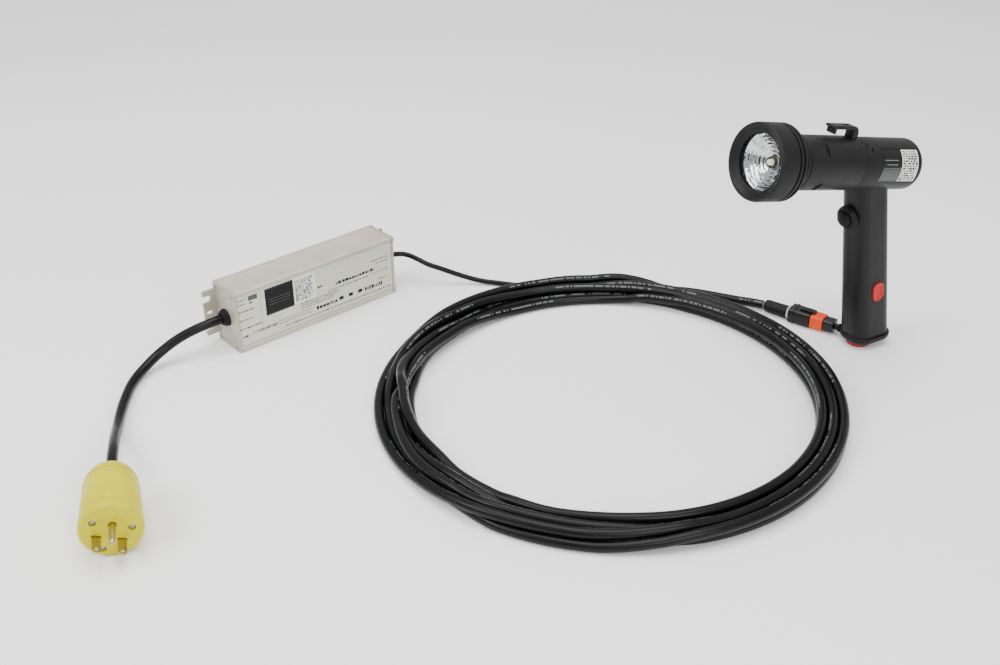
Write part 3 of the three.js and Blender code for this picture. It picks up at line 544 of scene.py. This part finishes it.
piece("neckSeal", lathe(closed([(23.2, 95.4), (24.1, 95.4), (24.5, 95.9), (24.5, 97.1), (24.1, 97.6),
                                (23.2, 97.6)])),
      barrelPlace, blackRubber, soften=0.2, cad=("neck_seal",))
print("head")

# Rear housing and label
tailArc = [(16.4 + 5.9 * math.sin(a * degree), -42.4 - 5.6 * math.cos(a * degree)) for a in range(0, 91, 9)]
piece("rearHousing", lathe([
    (0, -48), (10, -48), *tailArc, (22.3, -20), (22.3, 6), (22.3, 23.2), (22, 24.2), (21.5, 24.6),
    (19.9, 24.6),
    (19.9, -43), (16.9, -45), (0, -45),
], 128), barrelPlace, housing, soften=0.3, cuts=[
    (slab(21.4, 24.6, -28, 52, -41, 4.4), barrelPlace),
    (box(2, 4.5, 1.6), barrelPlace @ turn(48, "Z") @ shift(22.1, 0, 14.5) @ turn(-25, "X")),
    (lathe([(0, -2), (3.2, -2), (3.2, 4), (0, 4)], 32),
     barrelPlace @ turn(62, "Z") @ shift(23.2, 0, 20) @ turn(90, "Y")),
    (box(16, 20, 16, (0, -18.3, -2)), barrelPlace),
], cad=("rear_housing",))
label = {"low": -40.5, "high": 3.9, "split": -19.6, "from": -27, "to": 51}
piece("rearLabel", slab(21.7, 22.2, label["from"], label["to"], label["low"], label["high"]), barrelPlace,
      darkFilm,
      soften=0.06, cad=("rear_label",))
piece("rearLabelPatch", slab(22.2, 22.24, label["from"] + 4, label["to"] - 0.6, label["low"] + 0.6,
                             label["split"]),
      barrelPlace, whiteInk, soften=0)
piece("rearLabelBand", slab(22.2, 22.24, label["from"] + 6, 5, label["split"] + 0.4, label["high"] - 0.6),
      barrelPlace,
      greyInk, soften=0)
chance = random.Random(7)
marks = []
for row in range(13):
    centre = label["to"] - 5.2 - row * 5.4
    along = label["split"] - 1.3
    while along > label["low"] + 3:
        size = min(chance.choice((1.0, 1.6, 2.6, 3.4)), along - label["low"] - 1.6)
        high = chance.choice((1.0, 1.5, 2.0))
        marks.append(slab(22.24, 22.28, centre - high, centre + high, along - size, along))
        along -= size + chance.choice((0.6, 0.9, 1.4))
piece("rearLabelMarks", together(*marks), barrelPlace, blackInk, soften=0)
paleMarks = [slab(22.2, 22.24, 7, 7.7, label["split"] + 0.3, 1.8)]
for centre, first, count in ((25.5, 1.6, 10), (16, -1.2, 8)):
    along = first
    for i in range(count):
        size = chance.choice((0.7, 1.1, 1.6))
        paleMarks.append(slab(22.2, 22.24, centre - 0.75, centre + 0.75, along - size, along))
        along -= size + 0.5
piece("rearLabelWords", together(*paleMarks), barrelPlace, dimInk, soften=0)
screw("housingScrew", barrelPlace @ turn(62, "Z") @ shift(21.55, 0, 20) @ turn(90, "Y"), 2.7, 1.3,
      blackScrew,
      cad=("housing_screw",))
print("rear housing")

# Hook, drawn from the side as (along the barrel, up)
hookLine = [
    (25.4, 20), (31.6, 20), (31.6, 28.4), (31.9, 29.2), (32.6, 29.8), (33.6, 30), (51.9, 30), (51.9, 28.6),
    (51.3, 28.2),
    (51.9, 27.6), (52, 26.4), (52.6, 25.9), (53.8, 25.9), (54.4, 26.4), (54.4, 29.6), (54.9, 30.4),
    (56.4, 30.8),
    (57, 31.4), (57, 32.4), (56.4, 33), (31, 33), (29, 32.5), (27.2, 31.2), (26.2, 29.4), (25.4, 26),
]
hookShape = prism(hookLine, -4.5, 4.5)
hookCuts = [(lathe([(0, 10), (23, 10), (23, 70), (0, 70)], 96), barrelPlace),
            (lathe([(0, -3), (2.6, -3), (2.6, 4), (0, 4)], 32),
             barrelPlace @ shift(0, 32.6, 38.9) @ turn(-90, "X"))]
hookCuts += [(box(1, 30, 1.4, (4.7 * side, 31.5, 44 + 3 * i)), barrelPlace) for side in (-1,
    1) for i in range(3)]
piece("hangHook", moved(hookShape, Matrix(((0, 0, 1, 0), (0, 1, 0, 0), (1, 0, 0, 0), (0, 0, 0, 1)))),
      barrelPlace,
      housing, soften=0.35, cuts=hookCuts, cad=("hang_hook",))
screw("hookScrew", barrelPlace @ shift(0, 31.8, 38.9) @ turn(-90, "X"), 2.2, 1.0, blackScrew,
      cad=("hook_screw",))
print("hook")

# Handle
handle = {"length": 189.8, "low": (32, 41), "top": (28, 35), "corner": 12.5, "wall": 2.4, "under": 22.6,
          "rows": 30}


def handleHalf(side):
    outer = outlineRect(*handle["low"], handle["corner"], 14)
    inset = 2 * handle["wall"]
    inner = outlineRect(handle["low"][0] - inset, handle["low"][1] - inset,
                        handle["corner"] - handle["wall"], 14)
    gap = 0.12

    def half(points):
        kept = sorted((p for p in points if p[0] > gap), key=lambda p: math.atan2(p[1], p[0]))
        deep = max(p[1] for p in points)
        return [(gap, -deep), *kept, (gap, deep)]

    section = [(side * x, y) for x, y in half(outer) + half(inner)[::-1]]
    rings = []
    for row in range(handle["rows"] + 1):
        ring = []
        for x, y in section:
            bottom = (12.3 - y * math.sin(11 * degree)) / math.cos(11 * degree)
            above = -math.sqrt(max(0, handle["under"] ** 2 - x * x)) - 0.85 * y * math.cos(67 * degree)
            top = handle["length"] + above / math.sin(67 * degree)
            z = bottom + (top - bottom) * row / handle["rows"]
            rise = z / handle["length"]
            wide = 1 - rise * (1 - handle["top"][0] / handle["low"][0])
            deep = 1 - rise * (1 - handle["top"][1] / handle["low"][1])
            ring.append((max(abs(x) * wide, gap) * side, y * deep, z))
        rings.append(ring)
    return loft(rings)


front = (41 - 144.5 / 189.8 * 6) / 2
flank = (32 - 62.6 / 189.8 * 4) / 2
triggerPlace = gripPlace @ shift(0, -front, 144.5) @ turn(90, "X")
buttonPlace = gripPlace @ shift(flank, 1.5, 62.6) @ turn(90, "X") @ turn(90, "Y")
screwPlace = gripPlace @ shift((32 - 152 / 189.8 * 4) / 2 - 1.2, 7, 152) @ turn(90, "Y")
for side, name in ((1, "left"), (-1, "right")):
    holes = [(lathe([(0, -12), (8.9, -12), (8.9, 14), (0, 14)], 64), triggerPlace)]
    if side > 0:
        holes.append((prism(outlineOval(13.6, 20.4), -5, 5), buttonPlace))
        holes.append((lathe([(0, -0.4), (2.9, -0.4), (2.9, 4), (0, 4)], 32), screwPlace))
    piece(name + "Shell", handleHalf(side), gripPlace, housing, soften=0.3, limit=40, cuts=holes,
          cad=("handle_" + name + "_shell",))
screw("handleScrew", screwPlace, 2.2, 0.5, blackScrew, cad=("handle_screw",))
piece("triggerCollar", lathe(closed([
    (7.3, -3), (8.6, -3), (8.6, 0.3), (10.5, 0.35), (10.95, 0.8), (11, 1.6), (10.75, 3.3), (10.3, 4.8),
    (9.6, 5.6),
    (8.7, 5.8), (7.7, 5.6), (7.3, 5.1),
]), 72), triggerPlace, blackRubber, soften=0.15, cad=("trigger_collar",))
piece("triggerButton", lathe([
    (0, -4.6), (3, -4.6), (3, -2.4), (6.9, -2.4), (6.9, 6.8), (6.7, 7.8), (6.1, 8.8), (4.9, 9.6),
    (3.4, 10.2),
    (1.7, 10.5), (0, 10.6),
], 64), triggerPlace, blackRubber, "trigger", soften=0.15, cad=("trigger_button",))
softCopy("triggerSwitch", "trigger_switch", switchFinish)


def ovalRing(inset, z):
    return [(x, y, z) for x, y in outlineOval(13 - 2 * inset, 19.8 - 2 * inset)]


buttonRings = [ovalRing(0, -3.7), ovalRing(0, 0.4), ovalRing(0.25, 0.95), ovalRing(0.9, 1.3),
               ovalRing(1.5, 1.25),
               ovalRing(2.4, 0.75), ovalRing(4, 0.45), ovalRing(5.6, 0.4)]
piece("sideButton", together(loft(buttonRings), lathe([(0, -6.2), (2, -6.2), (2, -3.6), (0, -3.6)], 24)),
      buttonPlace,
      redPlastic, "side_button", soften=0.12, cad=("side_button",))
softCopy("sideSwitch", "side_switch", switchFinish)
softCopy("driverBoard", "driver_board", boardFinish, soften=0.15)
print("handle")

# Base
glandX, glandY = -15.93, -5.8          # where the pigtail leaves the base


def capRing(inset, z):
    return [(x, y, z) for x, y in outlineRect(35.5 - 2 * inset, 45 - 2 * inset, 14.5 - inset, 14)]


capRings = [capRing(6.5, 4), capRing(5.9, 4.15), capRing(3.4, 5), capRing(1.5, 6.3), capRing(0.4, 7.8),
            capRing(0, 9),
            capRing(0.3, 9.5), capRing(0.3, 10), capRing(0, 10.4), capRing(0, 11.3), capRing(0.7, 12)]
piece("baseCap", loft(capRings), rowPlace @ shift(0, 8 - 8 * math.tan(11 * degree), 0), housing,
      soften=0.15,
      cuts=[(lathe([(0, -6), (3.3, -6), (3.3, 9), (0, 9)], 40), rowPlace @ shift(glandX, glandY, 8)
             @ turn(203.6, "Z") @ turn(90, "Y")),
            (lathe([(0, 2), (5, 2), (5, 6), (0, 6)], 40), rowPlace)], cad=("base_cap",))
piece("baseFoot", lathe([
    (0, 0.4), (6, 0.4), (6.4, 0), (9.9, 0), (10.7, 0.4), (11, 1.2), (11, 3.2), (10.6, 3.7), (4.7, 3.7),
    (4.7, 5.6), (0, 5.6),
], 72), rowPlace, redRubber, soften=0.15, cad=("base_foot",))
piece("pigtailGland", lathe([
    (0, -5), (3, -5), (3, 1.6), (4.2, 1.7), (4.2, 2.3), (3.9, 2.7), (3.6, 2.8), (3.6, 3.2), (3.8, 3.4),
    (3.6, 4),
    (3.3, 4.4), (0, 4.4),
], 40), linkPlace @ shift(-7.5, 0, 0) @ turn(90, "Y"), blackRubber, soften=0.12,
cad=("pigtail_gland",))
piece("pigtailCord", lathe([(0, 4.5), (3, 4.5), (3, 7.25), (0, 7.25)], 40),
      linkPlace @ shift(-7.5, 0, 0) @ turn(90, "Y"),
      plainJacket, soften=0.1, cad=("pigtail_cord",))
print("base")

# Connector: +X runs away from the lamp
lay = turn(90, "Y")
tailPart = prism(outlineRect(11.6, 13, 2.6), 0, 10)
tailRibs = [(box(1.1, 0.9, 30, (2.2 + 1.9 * i, 6.6 * side, 0)),
             linkPlace) for i in range(4) for side in (-1, 1)]
piece("connectorTail", tailPart, linkPlace @ lay, blackNylon, soften=0.7, cuts=tailRibs,
      cad=("connector_tail",))
wedgePart = prism(outlineRect(13, 15, 2.4), 10.3, 22.8)
piece("connectorWedge", wedgePart, linkPlace @ lay, orangeSeal, soften=0.6, cuts=[
    (box(4.5, 9, 1.4, (16.5, 0, 6.6)), linkPlace), (box(6, 1, 5, (17, 7.6, 0)), linkPlace),
    (box(6, 1, 5, (17, -7.6, 0)), linkPlace)], cad=("connector_wedge",))
bodyPart = prism(outlineRect(14.2, 16.4, 2.4), 23.1, 45.1)
piece("connectorBody", bodyPart, linkPlace @ lay, blackNylon, soften=0.6, cuts=[
    (box(12, 1, 4, (31, 8.3, 0)), linkPlace), (box(12, 1, 4, (31, -8.3, 0)), linkPlace)],
    cad=("connector_body",))
piece("connectorRib", prism(outlineRect(15.4, 17.4, 2.8), 39.1, 41.5), linkPlace @ lay, blackNylon,
      soften=0.4)
piece("connectorLatch", box(13, 6, 1.4, (28.6, 0, 8.1)), linkPlace, blackNylon, "latch",
      soften=0.3,
      cad=("connector_latch",))
piece("latchHook", box(2, 6, 1.9, (21.1, 0, 7.85)), linkPlace, blackNylon, "latch",
      soften=0.3)
piece("latchGrip", together(*[box(0.7, 5, 0.5, (24.5 + 1.5 * i, 0, 8.95)) for i in range(4)]), linkPlace,
      blackNylon,
      "latch", soften=0.12)
piece("connectorCollar", lathe(closed([(4.6, 45.4), (6.5, 45.4), (6.8, 45.8), (6.8, 47.2), (6.5, 47.6),
                                       (4.6, 47.6)]), 56),
      linkPlace @ shift(0, 0, -0.5) @ lay, lightRing, soften=0.15, cad=("connector_collar",))
sleeveLine = [(4.5, 47.9), (6.2, 47.9), (6.4, 48.4)]
sleeveLine += [(6.38 - 0.14 * math.sin(i * 1.9) ** 2 - 0.02 * i, 49.4 + 1.7 * i) for i in range(12)]
sleeveLine += [(5.9, 70.4), (5.4, 71.5), (4.5, 71.9)]
piece("cordSleeve", lathe(closed(sleeveLine), 56), linkPlace @ shift(0, 0, -1.1) @ lay, blackRubber,
      soften=0.12, cad=("cord_sleeve",))
spliceLine = [(3.2, 0), (3.6, 0.1), (4, 1.2), (4.8, 3.4)]
spliceLine += [(5.1 - 0.16 * math.sin(i * 2.3) ** 2, 5.2 + 2.6 * i) for i in range(13)]
spliceLine += [(4.95, 39.8), (4.6, 41.6), (4.4, 42)]
leadSplice = piece("leadSplice", lathe([(0, 0), *spliceLine, (0, 42)], 48),
                   rowPlace @ shift(-236.2, -205.7, 5.2)
                   @ turn(69, "Z") @ lay, blackRubber, soften=0.12, cad=("lead_splice",))
print("connector")


# Power supply: +X is the label's side, +Y the output end
# Clear-coated extrusion, with fine lines along its length
caseFinish = surface("satin clear-coated aluminium extrusion", "#c2bbb0", 0.36, metallic=0.3, grain=0.6,
                     depth=0.02,
                     mottle=0.06, stretch=(1, 0.06, 1), specular=0.5)
# Coated sheet, a little greener and duller than the case
plateFinish = surface("satin coated end plate", "#aaa996", 0.42, metallic=0.25, grain=0.6, depth=0.03,
                      mottle=0.08)
# Smooth printed label, hardly shiny
paperFinish = surface("printed pale label film", "#c6c6b8", 0.45, grain=0.4, depth=0.004, mottle=0.03,
                      coat=0.1)
# Uneven bands of copper and tape
winding = surface("varnished copper and yellow tape", "#b9812f", 0.4, grain=0.8, depth=0.05, mottle=0.25)
# Tight shrunk film with a soft gloss
sleeveFinish = surface("dark blue shrunk sleeve", "#1b2436", 0.3, grain=0.5, depth=0.01, mottle=0.08)


# A closed outline from the points of its +X, +Z quarter, listed from the +X side round to the top
def mirrored(quarter):
    right = [(x, -z) for x, z in reversed(quarter)] + quarter
    return right + [(-x, -z) for x, z in right]


def without(points):
    kept = []
    for p in points:
        if not kept or math.dist(p, kept[-1]) > 0.01:
            kept.append(p)
    return kept


quarter = [(17.8, 26.4), (18.3, 26.9), (19.2, 27.3), (19.4, 27.6), (19.4, 28.3), (19.1, 28.45),
           (19.1, 28.8),
           (19.4, 28.95), (19.4, 29.6), (19.1, 30.3), (18.4, 30.65), (17.6, 30.75), (15, 30.75),
           (14.7, 30.1),
           (14, 30.1), (13.7, 30.6), (12.4, 30.3), (11, 29.95)]
caseOutline = without(mirrored(quarter))
plateOutline = without(mirrored([(18, 21), (18, 25), (19.4, 26.2), (19.4, 29.2), (19.1, 30.2),
                                 (18.4, 30.65),
                                 (17.6, 30.75), (13.9, 30.75), (12.3, 30.1), (0.01, 30.1)]))
inner = outlineRect(32.8, 55.6, 1.5, 4)
stand = turn(90, "X")                  # a flat outline's second coordinate becomes the height
middle = supplyPlace @ shift(0, 0, 30.75)     # half the case height above the floor


def alongY(outline, low, high):
    return moved(prism(outline, -high, -low), stand)


piece("supplyCase", alongY(caseOutline, -86.7, 86.7), middle, caseFinish, soften=0.18,
      limit=28,
      cuts=[(alongY(inner, -92, 92), middle)], cad=("supply_case",))
for sign, name in ((-1, "input"), (1, "output")):
    plate = alongY(plateOutline, min(sign * 87, sign * 90), max(sign * 87, sign * 90))
    tab = outlineRect(14, 46, 1.2, 4)
    lug = moved(prism(tab, -19.4, -16.8), shift(0, sign * 95.9, 0) @ turn(90, "Z") @ turn(90, "X"))
    end = [(box(6, 12, 7, (-18.1, sign * 104.2, 14.5 * k)), middle) for k in (-1, 1)]
    end += [(moved(lathe([(0, -3), (3.5, -3), (3.5, 3), (0, 3)], 40),
                   shift(-18.1, sign * 98.2, 14.5 * k) @ turn(90, "Y")),
             middle) for k in (-1, 1)]
    end.append((moved(prism(outlineRect(5.4, 4.2, 1, 4), -3, 3),
                      shift(-18.1, sign * 97.5, 0) @ turn(90, "Y")
                      @ turn(90, "Z")), middle))
    end.append((moved(lathe([(0, -4), (7.4, -4), (7.4, 4), (0, 4)], 56),
                      shift(0, sign * 89, 0) @ turn(90, "X")), middle))
    piece(name + "Plate", together(plate, lug), middle, plateFinish, soften=0.3, cuts=end,
          cad=("supply_end_" + name,))
    for i, (x, z) in enumerate(((15.8, 27), (-15.8, 27), (15.8, -27), (-15.8, -27))):
        screw(name + "PlateScrew" + str(i + 1), middle @ shift(x, sign * 90, z) @ turn(-90 * sign, "X"),
              2.5, 1.5,
              screwSteel)


def gland(name, sign, bore, outer, tip, node):
    rings = []
    for i in range(3):
        z = 2.2 + 1.2 * i
        r = outer - (outer - tip) * (z - 1.8) / 4.2
        rings += [(r, z), (r - 0.55, z + 0.3), (r - 0.6, z + 0.75), (r - 0.25, z + 0.95)]
    line = [(bore, -3.8), (7.1, -3.8), (7.1, 0.3), (outer, 0.35), (outer, 1.7), *rings, (tip, 6), (bore, 6)]
    return piece(name, lathe(closed(line), 56), middle @ shift(0, sign * 90, 0) @ turn(-90 * sign, "X"),
                 blackRubber,
                 soften=0.12, cad=(node,))


gland("inputGland", -1, 4.7, 8.4, 5.8, "input_gland")
gland("outputGland", 1, 2.9, 8, 4.2, "output_gland")
piece("supplyLabel", box(0.35, 173, 52.4, (18, 0, 0)), middle, paperFinish, soften=0.06,
      cad=("supply_label",))
softCopy("supplyBoard", "supply_board", boardFinish, soften=0.15)
softCopy("supplyTransformer", "supply_transformer", winding, soften=1.2)
softCopy("supplyCapacitor", "supply_capacitor", sleeveFinish, soften=0.5)
softCopy("supplyChoke", "supply_choke", winding, soften=1.5)
softCopy("supplyRectifier", "supply_rectifier", switchFinish, soften=0.3)
print("power supply")


# Label print: generic bars and blocks, as (along, up, width, height) from the label's middle
def printed(name, bars, ink, lift=0.0):
    depth = 0.04
    return piece(name, together(*[box(depth, w, h, (18.16 + lift + depth / 2, y, z)) for y, z, w,
                                  h in bars]), middle,
                 ink, soften=0)


chance = random.Random(21)


def textRow(y, z, length, height):
    bars = []
    end = y + length
    while y < end - 1:
        width = min(chance.uniform(0.9, 3.4), end - y)
        rise = height * chance.choice((0.75, 0.75, 1))
        bars.append((y + width / 2, z - (height - rise) / 2, width, rise))
        y += width + chance.uniform(0.5, 0.9)
    return bars


printed("labelPanel", [(-43.1, 10.6, 30.7, 27.7)], blackInk)
printed("labelPanelLines", textRow(-54, 12.6, 24, 0.7) + textRow(-54, 9.7, 22, 0.7) + textRow(-54, 6.8, 22,
    0.7)
        + [(-43.1, 23.2, 28.4, 0.25), (-43.1, -1.9, 28.4, 0.25)], greyInk, 0.04)
patch = []
for row in range(11):
    y = -25.6
    while y < -7.4:
        width = chance.choice((1.0, 1.9, 2.8))
        if y + width > -6.2:
            break
        patch.append((y + width / 2, 21 - 2.05 * row, width, chance.choice((0.8, 1.2, 1.5))))
        y += width + chance.choice((0.7, 1.0, 1.4))
printed("labelPatchSheet", [(-15.2, 11.2, 24.4, 28.4)], whiteInk)
printed("labelPatchMarks", patch, blackInk, 0.04)
words = textRow(-87, 22, 9, 1.2) + textRow(-87, 17.6, 8, 1.2) + [(-73.6, 16.6, 3.4, 1.4)]
for i, length in enumerate((17, 15, 24)):
    words += textRow(-87, 10 - 8.9 * i, length, 1.3)
words += textRow(20, 3.4, 46, 3.1) + textRow(10, -1.6, 49, 1.1)
words += textRow(-1, 6.6, 6, 3)
for i in range(4):
    words += textRow(-21, -4 - 1.9 * i, 45 - 3 * i, 0.95)
words += textRow(62, 12.6, 21, 1.1) + textRow(68, 8.8, 14, 1.1) + textRow(62, -0.6, 20, 1) + textRow(70,
    -9.2, 11, 1)
words += [(-75.5 + 1.25 * i, -15.2, chance.choice((0.4, 0.7, 0.9)), 2.6) for i in range(23)]
words += textRow(-85, -16.2, 5.4, 1.9)
words += [(-43.5 + 6.4 * i, -15, 4.2, 4.4) for i in range(6)]
words += textRow(-4, -15, 24, 3.6)
words += [(25 + 11.1 * i, -14.4, 5, 3.6) for i in range(3)]
words += textRow(53, -14.8, 21, 4)
words += textRow(-39, -21, 124, 1.2)
words += [(-63.5, 3, 0.25, 44), (0, -25.4, 170, 0.25)]
printed("labelWords", words, blackInk)
printed("labelMarkHoles", [(-43.5 + 6.4 * i, -15, 3.3, 3.5) for i in range(6)], paperFinish, 0.04)
printed("labelShade", [(-71, 21.4, 9.6, 5)], greyInk)
print("label print")

# Mains plug: +Z points out of its face, +Y up
# Bright moulded nylon: even colour and soft highlights
yellow = surface("satin safety yellow nylon", "#c4ba00", 0.4, grain=0.5, depth=0.02, mottle=0.1,
                 specular=0.2)
# Nickel worn through to the brass in patches
brass = surface("worn nickel-plated brass", "#b3a47c", 0.32, metallic=1, grain=0.5, depth=0.012,
                mottle=0.16)
plugLine = [
    (0, -68), (8.6, -68), (10.4, -67.7), (13.6, -66.3), (16.2, -63.8), (18, -61), (19.4, -57.6),
    (20.2, -54.4),
    (20.3, -52.2), (19.6, -51.8), (19.6, -51), (20.3, -50.6), (20.5, -49.4), (21.1, -47.6), (21.4, -40),
    (21.9, -30),
    (22.6, -10.9), (22.3, -10.35), (0, -10.3),
]
sideAngle = 63
piece("plugBody", lathe(plugLine, 112), plugPlace, yellow, soften=0.45, cuts=[
    (lathe([(0, -53), (15, -53), (15, -8), (0, -8)], 64), plugPlace),
    (lathe([(0, -80), (5, -80), (5, -50), (0, -50)], 48), plugPlace @ shift(0, -1.8, 0)),
    (moved(lathe([(0, 0), (3.1, 0), (3.1, 8), (0, 8)], 40),
           turn(sideAngle, "Z") @ shift(17, 0, -54) @ turn(90, "Y")),
     plugPlace)], cad=("plug_body",))
bladeSpots = ((-9.13, -6.8), (9.13, -6.8))
screwSpots = ((-13.9, 4.7), (13.9, 4.7), (-2.7, -16.9))
faceCuts = [(lathe([(0, -2.2), (2.7, -2.2), (2.7, 2), (0, 2)], 40), plugPlace @ shift(x, y, 0)) for x,
            y in screwSpots]
faceCuts += [(prism(outlineRect(7.2, 2.3, 0.5, 3), -12, 2), plugPlace @ shift(x, y, 0)) for x,
             y in bladeSpots]
faceCuts.append((lathe([(0, -12), (2.9, -12), (2.9, 2), (0, 2)], 40), plugPlace @ shift(0, 5.1, 0)))
piece("plugFace", lathe([
    (0, -10), (22.2, -10), (22.6, -9.7), (23.2, -8), (23.2, -2), (22.8, -0.9), (21.8, -0.25), (20.6, 0),
    (11.9, 0),
    (11.6, -0.3), (11.3, 0), (0, 0),
], 112), plugPlace, yellow, soften=0.35, cuts=faceCuts, cad=("plug_face",))
for i, (x, y) in enumerate(screwSpots):
    screw("plugScrew" + str(i + 1), plugPlace @ shift(x, y, -1.9), 2.2, 1.6, screwSteel,
          cad=("plug_screw_" + str(i + 1),))
for (x, y), name in zip(bladeSpots, ("left", "right")):
    side = [(x - 3.15, -10), (x + 3.15, -10), (x + 3.15, 15.6), (x + 1.6, 18), (x - 1.6, 18),
            (x - 3.15, 15.6)]
    blade = moved(prism(side, -0.75, 0.75), Matrix(((1, 0, 0, 0), (0, 0, -1, y), (0, 1, 0, 0),
                                                    (0, 0, 0, 1))))
    hole = moved(lathe([(0, -4), (1.55, -4), (1.55, 4), (0, 4)], 32), shift(x, y, 14.4) @ turn(90, "X"))
    piece(name + "Blade", blade, plugPlace, brass, soften=0.3, cuts=[(hole, plugPlace)],
          cad=("plug_blade_" + name,))
piece("groundPin", lathe([(0, -11), (2.4, -11), (2.4, 17.9), (2.2, 19.2), (1.6, 20.4), (0.8, 21),
                          (0, 21.2)], 48),
      plugPlace @ shift(0, 5.1, 0), brass, soften=0.1, cad=("plug_ground_pin",))
screw("clampScrew", plugPlace @ turn(sideAngle, "Z") @ shift(18, 0, -54) @ turn(90, "Y"), 2.4, 1.6,
      screwSteel,
      cad=("plug_clamp_screw",))
screw("sideScrew", plugPlace @ turn(sideAngle + 126, "Z") @ shift(19.6, 0, -54) @ turn(90, "Y"), 2.2, 1.4,
      screwSteel)
print("plug")


# Floor and light
floor = bpy.data.objects.new("floor", bpy.data.meshes.new("floor"))
floor.data.from_pydata([(-4, -4, -0.0002), (4, -4, -0.0002), (4, 4, -0.0002), (-4, 4, -0.0002)], [],
                       [(0, 1, 2, 3)])
bpy.context.scene.collection.objects.link(floor)
pale = bpy.data.materials.new("matte pale floor")
pale.use_nodes = True
pale.node_tree.nodes["Principled BSDF"].inputs["Base Color"].default_value = colour("#fafafa")
pale.node_tree.nodes["Principled BSDF"].inputs["Roughness"].default_value = 0.9
floor.data.materials.append(pale)


def light(name, energy, size, at, towards):
    lamp = bpy.data.lights.new(name, "AREA")
    lamp.energy = energy
    lamp.shape = "RECTANGLE"
    lamp.size, lamp.size_y = size
    made = bpy.data.objects.new(name, lamp)
    made.location = at
    made.rotation_euler = (Vector(towards) - Vector(at)).to_track_quat("-Z", "Y").to_euler()
    bpy.context.scene.collection.objects.link(made)


light("overhead", 40, (1.8, 1.4), (-0.1, -0.3, 1.9), (-0.1, -0.3, 0))
light("left", 20, (1.0, 0.8), (-0.2, -1.7, 1.2), (-0.1, -0.4, 0.05))
light("front", 14, (0.9, 0.7), (1.5, -0.5, 0.9), (0, -0.3, 0.1))
world = bpy.data.worlds.new("studio")
world.use_nodes = True
world.node_tree.nodes["Background"].inputs["Color"].default_value = (1, 1, 1, 1)
world.node_tree.nodes["Background"].inputs["Strength"].default_value = 0.8
bpy.context.scene.world = world
# Black cards out of view give the mirror parts something dark to reflect
black = bpy.data.materials.new("matte black card")
black.use_nodes = True
black.node_tree.nodes["Principled BSDF"].inputs["Base Color"].default_value = colour("#050505")
cards = {
    "lowCard": [(-0.9, -1.9, 0.02), (0.25, -1.9, 0.02), (0.25, -1.9, 0.75), (-0.9, -1.9, 0.75)],
    "sideCard": [(1.1, -1.5, 0.1), (1.6, -0.7, 0.1), (1.6, -0.7, 0.7), (1.1, -1.5, 0.7)],
}
for name, corners in cards.items():
    card = bpy.data.objects.new(name, bpy.data.meshes.new(name))
    card.data.from_pydata(corners, [], [(0, 1, 2, 3)])
    bpy.context.scene.collection.objects.link(card)
    card.data.materials.append(black)
    card.visible_camera = False
    card.visible_diffuse = False
    card.visible_shadow = False
print("floor and light")
